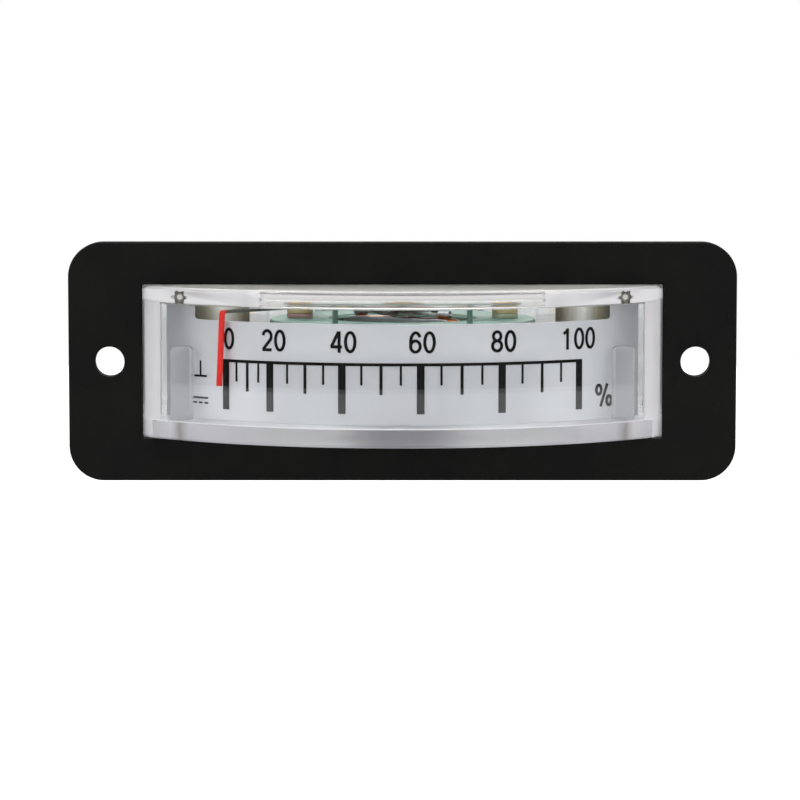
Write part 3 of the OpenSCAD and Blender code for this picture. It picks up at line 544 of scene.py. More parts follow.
# Bezel: plate with softened edges, window, two screw holes and the sleeve behind
bezelLow, bezelHigh = boxMm("bezel")
bezel = {"corner": 3.5, "window": (52.4, 15.5), "windowCorner": 0.25, "hole": 1.5, "holeX": 29.4,
         "thick": 2.0, "edge": 0.22, "sleeve": 1.0, "sleeveCorner": 0.4, "sleeveEdge": 0.15, "overlap": 0.05}
bezelBack = bezelLow.y + bezel["thick"]
window = rectLoop(*bezel["window"], bezel["windowCorner"], steps=4)
plateLoops = [rectLoop(bezelHigh.x - bezelLow.x, bezelHigh.z - bezelLow.z, bezel["corner"], steps=20), window]
plateLoops += [circleLoop(bezel["hole"], 64, s * bezel["holeX"]) for s in (-1, 1)]
sleeveSize = [size + 2 * bezel["sleeve"] for size in bezel["window"]]
sleeveLoops = [rectLoop(*sleeveSize, bezel["sleeveCorner"], steps=4), window]
sleeve = plateMesh(sleeveLoops, bezelBack - bezel["overlap"], bezelHigh.y, bezel["sleeveEdge"], True)
placePiece("bezel_plate", [plateMesh(plateLoops, bezelLow.y, bezelBack, bezel["edge"], True), sleeve],
           mouldedAbs, "bezel")
print("bezel made")

# Clear case: upper shell with roof, sides, rear and bowed front; lower shell with floor, lip and posts
caseLow, caseHigh = boxMm("upper_case")
dialLow, dialHigh = boxMm("dial_plate")
yokeLow, yokeHigh = boxMm("yoke_ring")
frontR = pivotY - caseLow.y
dialR = pivotY - dialLow.y
yokeR = yokeHigh.x
caseDepth = caseHigh.y
halfH = caseHigh.z
floorZ = dialLow.z
studX = 7.0
case = {"width": 52.2, "frontWall": 1.5, "sideWall": 1.9, "roof": 1.6, "skirt": 1.05, "shellGap": 0.05,
        "taperStart": 6.0, "rearWidth": 32.0, "rearCorner": 3.0, "edge": 0.06, "frontEdge": 0.4, "seam": 0.05,
        "recessWidth": 28.0, "recessDepth": 0.7, "recessMargin": 1.5, "dimple": 0.45, "dimpleX": 22.15,
        "dimpleDepth": 0.5, "dimpleDot": 0.27, "studHole": 1.55, "sideRib": 1.2, "sideRibEdge": 0.15}
halfCase = case["width"] / 2
recessX = case["recessWidth"] / 2
rimX = halfCase - case["sideWall"]
roofZ = halfH - case["roof"]
below = -halfH - 3  # well under the case, for cuts


def arcAhead(radius, angle):  # seen from above, angle 0 is straight ahead of the pivot
    return radius * sin(angle), pivotY - radius * cos(angle)


def bow(radius, halfChord, steps):
    reach = asin(halfChord / radius)
    return [arcAhead(radius, -reach + 2 * reach * k / steps) for k in range(steps + 1)]


def casePlan(inset, arcR=None):  # outline from above, moved in; open ahead where arcR is missing
    run, lean = caseDepth - case["taperStart"], halfCase - case["rearWidth"] / 2
    nx, ny = run / hypot(run, lean), lean / hypot(run, lean)
    side, corner = halfCase - inset, case["rearCorner"]
    cornerX = halfCase - (corner + ny * (run - corner)) / nx
    start = degrees(atan2(ny, nx))
    right = [(side, case["taperStart"] + inset * (nx - 1) / ny)]
    right += circleLoop(corner - inset, 10, cornerX, caseDepth - corner, start, 90 - start)
    ahead = [(-side, -20), (side, -20)] if arcR is None else bow(arcR, side, 110)
    return ahead + right + [(-x, y) for x, y in reversed(right)]


recessLoop = bow(frontR - case["frontWall"] - case["recessMargin"], recessX, 60)
recessLoop += [(s * recessX, pivotY + yokeR) for s in (1, -1)]
drum = moved(turnMesh(rodProfile(frontR, -halfH, halfH, case["frontEdge"], rounds=6), 360), onAxis)
shell = carve(plateMesh([casePlan(0)], -halfH, halfH, case["edge"]), [drum], "INTERSECT")
hollow = [plateMesh([casePlan(case["sideWall"], frontR - case["frontWall"])], below, roofZ, 0.25),
          plateMesh([casePlan(case["skirt"])], below, floorZ + case["seam"], 0.05),
          plateMesh([recessLoop], roofZ - 0.6, roofZ + case["recessDepth"], 0.04)]
dimpleY = pivotY - sqrt(frontR ** 2 - case["dimpleX"] ** 2)
dimpleZ = (roofZ + halfH - case["frontEdge"]) / 2
dimpleProfile = rodProfile(case["dimple"], -1.8, case["dimpleDepth"], 0.1)
dimpleProfile.insert(-1, (case["dimpleDot"], case["dimpleDepth"]))  # between the bright dot and the dark edge
studBore = rodMesh(case["studHole"], caseDepth - 3, caseDepth + 1, 0.1, 48, alongY=True)
for s in (-1, 1):
    hollow.append(moved(turnMesh(dimpleProfile, 32, True), shift(s * case["dimpleX"], dimpleY, dimpleZ)))
    hollow.append(moved(studBore, shift(s * studX, 0, 0)))
shell = carve(shell, hollow)
sleeveEnd = bezelHigh.y
sideRibs = []
for s in (-1, 1):
    inside, outside = sorted((s * (halfCase - 0.2), s * caseHigh.x))
    sideRibs.append(blockMesh((inside, sleeveEnd + 0.01, -halfH / 2),
                              (outside, sleeveEnd + case["sideRib"], halfH / 2), case["sideRibEdge"]))
shell = carve(shell, sideRibs, "UNION")
cuts = [((0, sleeveEnd, 0), (0, 1, 0)), ((0, 0, roofZ), (0, 0, 1))]  # faces end where the finish changes
cuts += [((x, 0, 0), (1, 0, 0)) for x in (-rimX, -recessX, recessX, rimX)]
work = bmesh.new()
work.from_mesh(shell)
for place, way in cuts:
    everything = work.verts[:] + work.edges[:] + work.faces[:]
    bmesh.ops.bisect_plane(work, geom=everything, plane_co=place, plane_no=way)
work.to_mesh(shell)
work.free()
cleanMesh(shell)
facing = 0.9  # share of its normal from which a face counts as square to an axis
caseFinishes = [clearStyrene, satinStyrene, hazedStyrene, frostedStyrene, darkReflectionStyrene, mistedStyrene]
for face in shell.polygons:
    spot, way = face.center, face.normal
    weld = way.z < -facing and abs(spot.z - floorZ) < 0.2
    ahead = way.y < -0.3 and hypot(spot.x, spot.y - pivotY) > frontR - 0.45
    rim = ahead and (spot.z > roofZ and abs(spot.x) > recessX or abs(spot.x) > rimX)
    fromDimple = hypot(abs(spot.x) - case["dimpleX"], spot.z - dimpleZ)
    finish = clearStyrene
    # a dimple's walls take the dark finish, a painted dark reflection
    if fromDimple < case["dimple"] + 0.02 and spot.y < 0:  # a dimple: dark, with a bright dot in its floor
        finish = satinStyrene if way.y < -facing and fromDimple < case["dimpleDot"] else darkReflectionStyrene
    elif weld or abs(way.x) > facing and spot.y < sleeveEnd:
        finish = satinStyrene
    elif rim:
        finish = hazedStyrene
    elif ahead and spot.z > roofZ:
        finish = mistedStyrene
    elif way.z > facing and spot.y < sleeveEnd:
        finish = frostedStyrene
    face.material_index = caseFinishes.index(finish)
placePiece("case_upper", [shell], caseFinishes, "upper_case")

# Painted dark reflection: a ragged dark film round each dimple, laid on the bowed front
paintedDarkRing = {"reach": 0.6, "ray": 0.4, "ragged": 0.2, "film": 0.02, "lift": 0.004, "fadeEnd": 0.9,
          "cover": (0.85, 0.04), "blot": 0.45, "blotRange": (0.35, 0.6), "blotCover": 0.25}
paintedDarkLoop = []
for k in range(160):
    a = 2 * pi * k / 160
    ragged = paintedDarkRing["ragged"] * (cos(6 * a) + 0.4 * cos(13 * a + 1))
    reach = paintedDarkRing["reach"] + paintedDarkRing["ray"] * abs(cos(a)) ** 60 + ragged * (1 if a < pi else 0.5)
    reach = max(case["dimple"] + 0.05, reach)
    paintedDarkLoop.append((reach * cos(a), reach * sin(a)))
film = plateMesh([paintedDarkLoop, circleLoop(case["dimple"] + 0.01, 40)], 0, paintedDarkRing["film"], 0, True)
paintedDarkRings = []
for s in (-1, 1):
    mark = moved(film, shift(s * case["dimpleX"], 0, dimpleZ))
    for v in mark.vertices:
        v.co = (*arcAhead(frontR + paintedDarkRing["lift"] + v.co.y, asin(v.co.x / frontR)), v.co.z)
    paintedDarkRings.append(cleanMesh(mark))
# the film of painted dark reflection: olive brown, blotchy, and thinner away from the dimple
darkReflectionFilm = makeFinish("scorchedSkin", ["#6E6344", "#3F3D38", "#5C5848"], (0.3, 0.4), patch=0.5)
tree = darkReflectionFilm.node_tree
coords, parts, aside = objectPlace(tree)
spot = addNode(tree, "ShaderNodeCombineXYZ", {"X": aside, "Z": parts["Z"]})
away = addNode(tree, "ShaderNodeVectorMath", {0: spot, 1: (case["dimpleX"] * mm, 0, dimpleZ * mm)},
               operation="DISTANCE").outputs["Value"]
fade = mapRange(tree, away, case["dimple"] * mm, paintedDarkRing["fadeEnd"] * mm, *paintedDarkRing["cover"])
patchy = mapRange(tree, noise(tree, coords, paintedDarkRing["blot"]), *paintedDarkRing["blotRange"], paintedDarkRing["blotCover"])
setNode(tree.nodes["Principled BSDF"], {"Alpha": combine(tree, "MULTIPLY", fade, patchy)})
placePiece("scorch_marks", paintedDarkRings, darkReflectionFilm, None)

# Lower case
tray = {"post": 1.1, "postX": 21.8, "postTop": 1.55, "postGap": 0.3, "postEdge": 0.45, "ribThick": 1.2,
        "ribDepth": 2.4, "ribGap": 0.6, "root": 0.4, "screwHead": 1.95, "screwBore": 1.05, "screwR": 11.0,
        "screwSink": 0.9, "footBore": 3.25}
postRing = dialR + tray["postGap"] + tray["post"]
postY = pivotY - sqrt(postRing ** 2 - tray["postX"] ** 2)
ribAngle = degrees(asin(tray["postX"] / postRing))
ribR = dialR - tray["ribGap"]
rootZ = floorZ - tray["root"]
lower = carve(plateMesh([casePlan(case["skirt"] + case["shellGap"])], -halfH, floorZ, case["edge"]), [drum],
              "INTERSECT")
post = rodMesh(tray["post"], rootZ, tray["postTop"], tray["postEdge"], 40)
rib = blockMesh((-tray["ribThick"] / 2, -ribR, rootZ),
                (tray["ribThick"] / 2, -ribR + tray["ribDepth"], boxMm("lower_case")[1].z), 0.1)
stands = []
wells = [moved(rodMesh(tray["footBore"], -halfH - 1, floorZ + 1, 0.05, 64), onAxis)]
for s in (-1, 1):
    stands += [moved(post, shift(s * tray["postX"], postY, 0)), moved(rib, onAxis @ turned(s * ribAngle))]
    place = shift(0, pivotY + s * tray["screwR"], 0) @ Matrix.Rotation(0.05, 4, "Z")  # keeps the cuts apart
    wells += [moved(rodMesh(tray["screwHead"], -halfH - 1, tray["screwSink"] - halfH, 0.1, 48), place),
              moved(rodMesh(tray["screwBore"], -halfH - 1, floorZ + 1, 0.05, 32), place)]
lower = carve(carve(lower, stands, "UNION"), wells)
for face in lower.polygons:
    face.material_index = int(face.center.z > floorZ + 0.02)  # the posts
placePiece("case_lower", [lower], [dullStyrenePaintedReflection, postStyrene], "lower_case")
print("clear case made")

# Dial: curved enamelled sheet with a notch, printed marks and numerals; a mark is a length and a width
dial = {"thick": 0.5, "notchMargin": 3.0, "notchZ": 4.15, "scaleMargin": 3.2, "scaleZ": 0.2, "line": 0.3,
        "shares": [0, 0.137, 0.339, 0.548, 0.768, 1], "divisions": 4, "major": (4.9, 0.75),
        "medium": (3.0, 0.3), "minor": (2.05, 0.22), "ink": 0.03, "inkLift": 0.004,
        "numerals": ["0", "20", "40", "60", "80", "100"], "numeralHeight": 2.12, "numeralZ": 1.36,
        "nudges": [0.39, 0.41, 0.15, 0.17, 0.16, 0.0], "stroke": 0.145, "advance": 0.65, "middle": 0.27,
        "percent": {"angle": 40.1, "z": -4.58, "height": 2.28, "middle": 0.49}, "signAngle": -40.2,
        # each stroke of the signs: aside, height, width, length. A bar over three dashes is direct current,
        # a stem on a foot is upright use
        "signs": [(0, -3.7, 2.0, 0.2), (-0.75, -4.2, 0.5, 0.2), (0, -4.2, 0.5, 0.2), (0.75, -4.2, 0.5, 0.2),
                  (0, -1.5, 1.7, 0.2), (0, -0.7, 0.2, 1.5)]}
dialReach = degrees(asin(dialHigh.x / dialR))
notchHalf = dialHigh.x - dial["notchMargin"]
scaleHalf = degrees(asin((notchHalf - dial["scaleMargin"]) / dialR))
inkR = dialR + dial["inkLift"]
sheet = sectorMesh(dialR - dial["thick"], dialR, dialLow.z + 0.02, dialHigh.z, 0, 2 * dialReach, 160)
notch = blockMesh((-notchHalf, -dialR - 3, dial["notchZ"]), (notchHalf, 0, dialHigh.z + 3), 0.3)
placePiece("dial_sheet", [carve(sheet, [notch])], dialEnamel, "dial_plate", onAxis, bevel=0.05)


def printMarks(entries):  # each entry: angle in degrees, middle height, width, length
    turns, heights, widths, lengths = zip(*entries)
    angles = [radians(turn) for turn in turns]
    spots = bpy.data.meshes.new("spots")
    spots.from_pydata([(*arcAhead(inkR + dial["ink"] / 2, a), z) for a, z in zip(angles, heights)], [], [])
    for label, values in (("markWidth", widths), ("markLength", lengths), ("markAngle", angles)):
        spots.attributes.new(label, "FLOAT", "POINT").data.foreach_set("value", values)
    return grow(spots, marksTree, {"Ink Thickness": dial["ink"], "Finish": screenInk})


marks = []
for share, after in zip(dial["shares"], dial["shares"][1:] + [None]):
    marks.append((share, dial["major"]))
    for k in range(1, dial["divisions"] if after else 1):
        marks.append((share + (after - share) * k / dial["divisions"], dial["medium" if k == 2 else "minor"]))
ticks = printMarks([(2 * scaleHalf * share - scaleHalf, dial["scaleZ"] - length / 2, width, length)
                    for share, (length, width) in marks])
lineSpan = 2 * scaleHalf + degrees(dial["major"][1] / dialR)
line = sectorMesh(inkR, inkR + dial["ink"], dial["scaleZ"] - dial["line"] / 2,
                  dial["scaleZ"] + dial["line"] / 2, 0, lineSpan, 90)
placePiece("scale_print", [ticks, moved(line, onAxis)], screenInk, "scale_marks")


def arcRoute(x, z, wide, tall, start=0, sweep=360, steps=28):
    angles = [radians(start + sweep * k / steps) for k in range(steps + 1)]
    return [(x + wide * cos(a), z + tall * sin(a)) for a in angles]


# Strokes of plain upright figures, one unit tall and about half as wide
figures = {"0": [arcRoute(0.27, 0.5, 0.22, 0.45)],
           "1": [[(0.26, 0), (0.26, 1)], [(0.26, 0.93), (0.17, 0.83), (0.04, 0.76)]],
           "2": [arcRoute(0.27, 0.69, 0.21, 0.26, 172, -210) + [(0.07, 0.08)], [(0.02, 0.05), (0.5, 0.05)]],
           "4": [[(0.37, 0.97), (0.04, 0.29)], [(0, 0.27), (0.53, 0.27)], [(0.4, 0), (0.4, 1)]],
           "6": [arcRoute(0.27, 0.31, 0.22, 0.26), arcRoute(0.285, 0.5, 0.231, 0.45, 32, 157)],
           "8": [arcRoute(0.27, 0.74, 0.18, 0.21), arcRoute(0.27, 0.29, 0.22, 0.24)],
           "%": [arcRoute(0.19, 0.75, 0.14, 0.2), arcRoute(0.79, 0.25, 0.14, 0.2), [(0.29, 0), (0.69, 1)]]}


def strokeLoops(route, width):  # outline of a stroke: a ring where the route is closed
    closed = dist(route[0], route[-1]) < 1e-6
    points = route[:-1] if closed else route
    sides = [[], []]
    for k, (x, z) in enumerate(points):
        before = points[k - 1] if closed or k else points[0]
        after = points[(k + 1) % len(points)] if closed or k + 1 < len(points) else points[-1]
        run = Vector((after[0] - before[0], after[1] - before[1])).normalized() * width / 2
        sides[0].append((x - run.y, z + run.x))
        sides[1].append((x + run.y, z - run.x))
    return sides if closed else [sides[0] + sides[1][::-1]]


def printFigure(figure, size, start, angle, low):  # drawn flat from start along x, then bent round the dial
    strokes = []
    for k, route in enumerate(figures[figure]):
        loops = strokeLoops(route, dial["stroke"])
        half = 0.05 + 0.01 * k  # no two strokes are flush, so that they join
        strokes.append(plateMesh([[(start + x * size, z * size) for x, z in loop] for loop in loops],
                                 -half, half, 0, True))
    mesh = carve(strokes[0], strokes[1:], "UNION")
    for v in mesh.vertices:
        radius = inkR + (dial["ink"] if v.co.y < 0 else 0)
        v.co = (*arcAhead(radius, radians(angle) + v.co.x / dialR), v.co.z + low)
    return cleanMesh(mesh)


letters = []
size = dial["numeralHeight"]
for text, share, nudge in zip(dial["numerals"], dial["shares"], dial["nudges"]):
    angle = 2 * scaleHalf * share - scaleHalf + degrees(nudge / dialR)
    for k, figure in enumerate(text):
        start = (k - (len(text) - 1) / 2) * size * dial["advance"] - dial["middle"] * size
        letters.append(printFigure(figure, size, start, angle, dial["numeralZ"]))
percent = dial["percent"]
size = percent["height"]
letters.append(printFigure("%", size, -percent["middle"] * size, percent["angle"], percent["z"]))
letters.append(printMarks([(dial["signAngle"] + degrees(aside / dialR), z, width, length)
                           for aside, z, width, length in dial["signs"]]))
placePiece("dial_numerals", letters, screenInk, None)
print("dial made:", len(marks), "marks")

# Pointer: cranked strip, hub, tail and balance arms; the flag is red
coilLow, coilHigh = boxMm("coil_former")
onCoil = onAxis @ turned(-scaleHalf)
pointer = {"rootWidth": 0.9, "flagWidth": 0.5, "thick": 0.3, "hub": 1.6, "hubBore": 0.33, "hubLift": 0.3,
           "rootR": 1.2, "levelR": 3.2, "kneeR": 8.0, "kneeDrop": 0.4, "kneeBend": 1.5, "bend": 0.5,
           "flagGap": 0.45, "lean": 0.5, "flagDrop": 2.5, "armWidth": 0.5, "armRoot": 1.3,
           "arms": [(-90, 6.3), (90, 6.3), (180, 7.6)]}
hubZ = coilHigh.z + pointer["hubLift"]
hubTop = hubZ + pointer["thick"]
halfT = pointer["thick"] / 2
armEndZ = (dial["notchZ"] + roofZ - pointer["thick"]) / 2
flagR = dialR + pointer["flagGap"] - pointer["bend"] + pointer["thick"]
middleBend = pointer["bend"] - halfT
bendZ = armEndZ + pointer["thick"] - pointer["bend"]
route = softPath([(0, pointer["rootR"], hubZ + halfT), (0, pointer["levelR"], hubZ + halfT),
                  (0, pointer["kneeR"], armEndZ - pointer["kneeDrop"] + halfT), (0, flagR, armEndZ + halfT)],
                 pointer["kneeBend"])
route += [Vector((0, flagR + middleBend * sin(a), bendZ + middleBend * cos(a)))
          for a in [pi / 2 * k / 10 for k in range(1, 11)]]
flagEnd = Vector((0, flagR + middleBend + pointer["lean"], dial["scaleZ"] - pointer["flagDrop"]))
route += [route[-1].lerp(flagEnd, k / 6) for k in range(1, 7)]
stripRows = []
for k, place in enumerate(route):
    way = (route[min(k + 1, len(route) - 1)] - route[max(k - 1, 0)]).normalized()
    up = Vector((0, -way.z, way.y)) * halfT
    share = min(1, place.y / flagR)
    side = Vector(((pointer["rootWidth"] * (1 - share) + pointer["flagWidth"] * share) / 2, 0, 0))
    corners = [place - side + up, place + side + up, place + side - up, place - side - up]
    stripRows.append([(c.x, -c.y, c.z) for c in corners])
strip = skinMesh(stripRows)
for face in strip.polygons:
    face.material_index = int(face.center.y < -flagR)
hubParts = [rodMesh(pointer["hub"], hubZ, hubTop, 0.05, 48, pointer["hubBore"])]
for turn, length in pointer["arms"]:
    arm = blockMesh((-pointer["armWidth"] / 2, -length, hubZ + 0.02),
                    (pointer["armWidth"] / 2, -pointer["armRoot"], hubTop - 0.02), 0.06)
    hubParts.append(moved(arm, turned(turn)))
for mesh in hubParts:
    mesh.polygons.foreach_set("material_index", [2] * len(mesh.polygons))
placePiece("pointer_strip", [strip] + hubParts, [greyStrip, flagEnamel, paleLacquer], "pointer",
           onCoil, "moving_coil", 0.04)

# Balance weights: wire wound into a sleeve on each arm
weight = {"radius": 0.45, "bore": 0.3, "length": 1.4, "turns": 8, "wire": 0.07, "overhang": 0.2}
profile = [(weight["bore"], 0)]
for k in range(weight["turns"]):
    profile += [(weight["radius"] - weight["wire"] + weight["wire"] * sin(a),
                 (k + 0.5 - 0.5 * cos(a)) * weight["length"] / weight["turns"])
                for a in [pi * t / 4 for t in range(5)]]
sleeve = turnMesh(profile + [(weight["bore"], weight["length"])], 28, True)
sleeves = [moved(sleeve, turned(turn) @ shift(0, weight["overhang"] - length, hubZ + halfT))
           for turn, length in pointer["arms"]]
placePiece("balance_coils", sleeves, brightZinc, "balance_weights", onCoil, "moving_coil")
print("pointer made")

# Magnet system and base
coreLow, coreHigh = boxMm("core_magnet")
baseLow, baseHigh = boxMm("movement_base")
coreR = coreHigh.x
movement = {"bore": 7.753, "coreBore": 1.1, "holderSpan": 36, "foot": 3.2, "spigotWall": 0.6, "tagX": -7.0,
            "tagWidth": 3.2, "tagThick": 0.6, "tagRoot": 10, "screwX": 11.0, "pillar": 1.4, "jewel": 1.1}
jewelBore = movement["jewel"] + ease
spigotR = movement["bore"] - ease
placePiece("yoke_body", [rodMesh(yokeR, yokeLow.z, yokeHigh.z, 0.3, 144, movement["bore"])], passivatedZinc,
           "yoke_ring", onAxis)
placePiece("core_body", [rodMesh(coreR, coreLow.z, coreHigh.z, 0.25, 96, movement["coreBore"])], groundMagnet,
           "core_magnet", onAxis)
holders = [sectorMesh(coreR + ease, spigotR, coreLow.z, coreHigh.z, middle, movement["holderSpan"])
           for middle in (0, 180)]
placePiece("core_holders", holders, turnedBrass, "core_supports", onAxis, bevel=0.12)
tagX, tagTop, halfTag = movement["tagX"], floorZ + movement["tagThick"], movement["tagWidth"] / 2
tag = blockMesh((tagX - halfTag, movement["tagRoot"], floorZ + 0.01),
                (tagX + halfTag, baseHigh.y - pivotY, tagTop), 0.15)
plate = [rodMesh(yokeR, floorZ + 0.01, yokeLow.z, 0.25, 128, jewelBore),
         rodMesh(movement["foot"], baseLow.z, floorZ + 0.3, 0.15, 64, jewelBore),
         rodMesh(spigotR, yokeLow.z - 0.1, baseHigh.z, 0.1, 96, spigotR - movement["spigotWall"]), tag]
placePiece("movement_plate", plate, dieCast, "movement_base", onAxis)


def screwMesh(head, headHeight, shank, length):  # slotted pan head along z, seat at z = 0
    dome = [(head, 0.02), (head, headHeight * 0.45)]
    dome += [(head * cos(a) ** 0.55, headHeight * (0.45 + 0.55 * sin(a)))
             for a in [pi / 2 * k / 6 for k in range(1, 6)]]
    profile = [(0, -length), (shank * 0.8, -length), (shank, -length + 0.15), (shank, 0), (head - 0.05, 0)]
    cut = blockMesh((-head * 1.4, -head / 6, headHeight * 0.4), (head * 1.4, head / 6, headHeight * 2), 0.02)
    return carve(turnMesh(profile + dome + [(0, headHeight)], 48), [cut])


anyTurn = (0, 0, pi)
floorScrew = {"head": 1.9, "headHeight": 0.7, "shank": 1.0, "length": 1.8}
headZ = boxMm("movement_screws")[0].z + floorScrew["headHeight"]
lowerScrews = row(moved(screwMesh(**floorScrew), turned(180, "X")), 2, (0, pivotY - tray["screwR"], headZ),
                  (0, 2 * tray["screwR"], 0), brightZinc, anyTurn)
placePiece("floor_screws", [lowerScrews], brightZinc, "movement_screws")

# Side screens: bent sheet along the tapered sides, each with a flange on the floor
screen = {"thick": 0.5, "gap": 0.15, "flange": 2.4, "ends": (13.0, 32.0), "bend": 0.8}
screenTop = boxMm("side_screens")[1].z
lean = atan2((case["width"] - case["rearWidth"]) / 2, caseDepth - case["taperStart"])
bend, inBend = screen["bend"], screen["bend"] - screen["thick"]
bentLoop = [(0, screenTop)] + circleLoop(bend, 8, -bend, floorZ + bend, 0, -90)
bentLoop += [(-screen["flange"], floorZ), (-screen["flange"], floorZ + screen["thick"])]
bentLoop += circleLoop(inBend, 8, -bend, floorZ + bend, -90, 90) + [(-screen["thick"], screenTop)]
frontEnd, rearEnd = screen["ends"]
screenY = (frontEnd + rearEnd) / 2
halfScreen = (rearEnd - frontEnd) / 2 / cos(lean) - screen["flange"] * sin(lean) / 2
screenX = halfCase - (screenY - case["taperStart"]) * tan(lean)
screenX -= (case["sideWall"] + screen["gap"]) / cos(lean)
bentSheet = moved(plateMesh([bentLoop], -halfScreen, halfScreen, 0.05, True, 1),
                  shift(screenX, screenY, 0) @ Matrix.Rotation(lean, 4, "Z"))
placePiece("screen_plates", [bentSheet, moved(bentSheet, mirror)], yellowZincPaintedReflection, "side_screens")

# Bridge on two spacers, each a washer and a brass sleeve, with its screws and the pointer's stops
bridge = {"halfWidth": 1.7, "hub": 2.9, "screwBore": 0.75, "spacerBore": 0.73, "washer": 0.5, "stop": 0.3,
          "overrun": 1.5, "stopGap": 0.8, "screw": {"headHeight": 0.6, "shank": 0.7, "length": 2.4}}
bridgeLow, bridgeHigh = spanMm("top_bridge", "z")
screwX, halfBar = movement["screwX"], bridge["halfWidth"]
washerTop = yokeHigh.z + bridge["washer"]
spacers = []
for low, high, finish in ((yokeHigh.z, washerTop, phenolic), (washerTop + 0.005, bridgeLow, dullBrass)):
    spacer = rodMesh(movement["pillar"], low, high, 0.1, 48, bridge["spacerBore"])
    spacers.append(pair(spacer, screwX, pivotY, 0, finish))
for face in spacers[0].polygons:
    face.material_index = 2 if face.center.x > 0 else 0
for face in spacers[1].polygons:
    face.material_index = 1
placePiece("bridge_spacers", spacers, [phenolic, dullBrass, greenPhenolic], "bridge_pillars")
meet = degrees(asin(halfBar / bridge["hub"])) + 0.5
barLoop = []
for end in (0, 180):
    barLoop += circleLoop(halfBar, 16, screwX if end == 0 else -screwX, 0, end - 90, 180)
    barLoop += circleLoop(bridge["hub"], 24, 0, 0, end + meet, 180 - 2 * meet)
barLoops = [barLoop, circleLoop(jewelBore, 40)]
barLoops += [circleLoop(bridge["screwBore"], 24, s * screwX) for s in (-1, 1)]
placePiece("bridge_bar", [plateMesh(barLoops, bridgeLow, bridgeHigh, 0.08)], passivatedZinc, "top_bridge",
           onAxis)
upperScrews = pair(screwMesh(movement["pillar"], **bridge["screw"]), screwX, pivotY, bridgeHigh, turnedBrass,
                   anyTurn, 8)
placePiece("bridge_heads", [upperScrews], turnedBrass, "bridge_screws")
stopAngle = scaleHalf + bridge["overrun"] + degrees(asin(bridge["stopGap"] / screwX))
pin = rodMesh(bridge["stop"], *spanMm("stop_pins", "z"), 0.12, 24)
pins = [moved(pin, turned(s * stopAngle) @ shift(0, -screwX, 0)) for s in (-1, 1)]
placePiece("pointer_stops", pins, passivatedZinc, "stop_pins", onAxis)


# Bearings: threaded jewel screws, ruby cups, lock nut and the zero lever
def threadMesh(radius, depth, pitch, low, high, columns=40):  # helical ridge on a solid rod
    steps = max(2, round((high - low) / pitch * 8))
    rows = []
    for z in [low + (high - low) * k / steps for k in range(steps + 1)]:
        fade = min(1, (z - low) / pitch, (high - z) / pitch)
        ring = []
        for c in range(columns):
            wave = abs(((z / pitch - c / columns) % 1) * 2 - 1)
            r = radius - depth * max(wave, 1 - fade)
            a = 2 * pi * c / columns
            ring.append((r * cos(a), r * sin(a), z))
        rows.append(ring)
    return skinMesh(rows)


bearing = {"cup": 0.78, "cupDepth": 0.65, "slot": 0.2, "slotDepth": 0.22, "thread": 0.08, "pitch": 0.3,
           "lockFlats": 3.6}
slot = bearing["slot"]
low, high = spanMm("upper_jewel_screw", "z")
upperBush = carve(threadMesh(movement["jewel"], bearing["thread"], bearing["pitch"], low, high),
                  [blockMesh((-2, -slot, high - bearing["slotDepth"]), (2, slot, high + 1), 0.02),
                   rodMesh(bearing["cup"], low - 1, low + bearing["cupDepth"], 0.02, 40)])
placePiece("upper_bush", [upperBush], turnedBrass, "upper_jewel_screw", onAxis)
low, high = spanMm("lower_jewel_screw", "z")
lowerBush = carve(rodMesh(movement["jewel"], low, high, 0.08, 48),
                  [rodMesh(bearing["cup"], high - bearing["cupDepth"], high + 1, 0.02, 40),
                   blockMesh((-2, -slot, low - 1), (2, slot, low + bearing["slotDepth"]), 0.02)])
placePiece("lower_bush", [lowerBush], turnedBrass, "lower_jewel_screw", onAxis)
for node in ("upper_jewel", "lower_jewel"):
    frame["nodes"][node].material_slots[0].material = ruby
lockLoops = [circleLoop(bearing["lockFlats"] / sqrt(3), 6), circleLoop(jewelBore, 40)]
placePiece("lock_nut", [plateMesh(lockLoops, *spanMm("jewel_lock_nut", "z"), 0.07)], brightZinc,
           "jewel_lock_nut", onAxis)

lever = {"ring": 2.3, "halfWidth": 0.8, "halfFork": 0.35, "forkLength": 2.0, "chamfer": 0.15, "thick": 0.3,
         "bore": movement["jewel"] + 0.05, "tab": 0.4, "tabY": 3.92, "tabThick": 0.35}
leverLow, leverHigh = boxMm("zero_lever")
leverTop, leverEnd = leverHigh.z, leverHigh.y - pivotY
halfLever, halfFork, chamfer = lever["halfWidth"], lever["halfFork"], lever["chamfer"]
meet = degrees(acos(halfLever / lever["ring"]))
prong = [(halfLever, leverEnd - chamfer), (halfLever - chamfer, leverEnd), (halfFork, leverEnd)]
leverLoop = circleLoop(lever["ring"], 40, 0, 0, 180 - meet, 180 + 2 * meet) + prong
leverLoop += circleLoop(halfFork, 10, 0, leverEnd - lever["forkLength"], 0, -180)
leverLoop += [(-x, y) for x, y in reversed(prong)]
leverPlate = plateMesh([leverLoop, circleLoop(lever["bore"], 40)], leverTop - lever["thick"], leverTop, 0.05)
leverTab = blockMesh((-lever["tab"], lever["tabY"], leverLow.z),
                     (lever["tab"], lever["tabY"] + lever["tabThick"], leverTop - 0.1), 0.06)
placePiece("zero_arm", [leverPlate, leverTab], turnedBrass, "zero_lever", onAxis, "zero_setter")

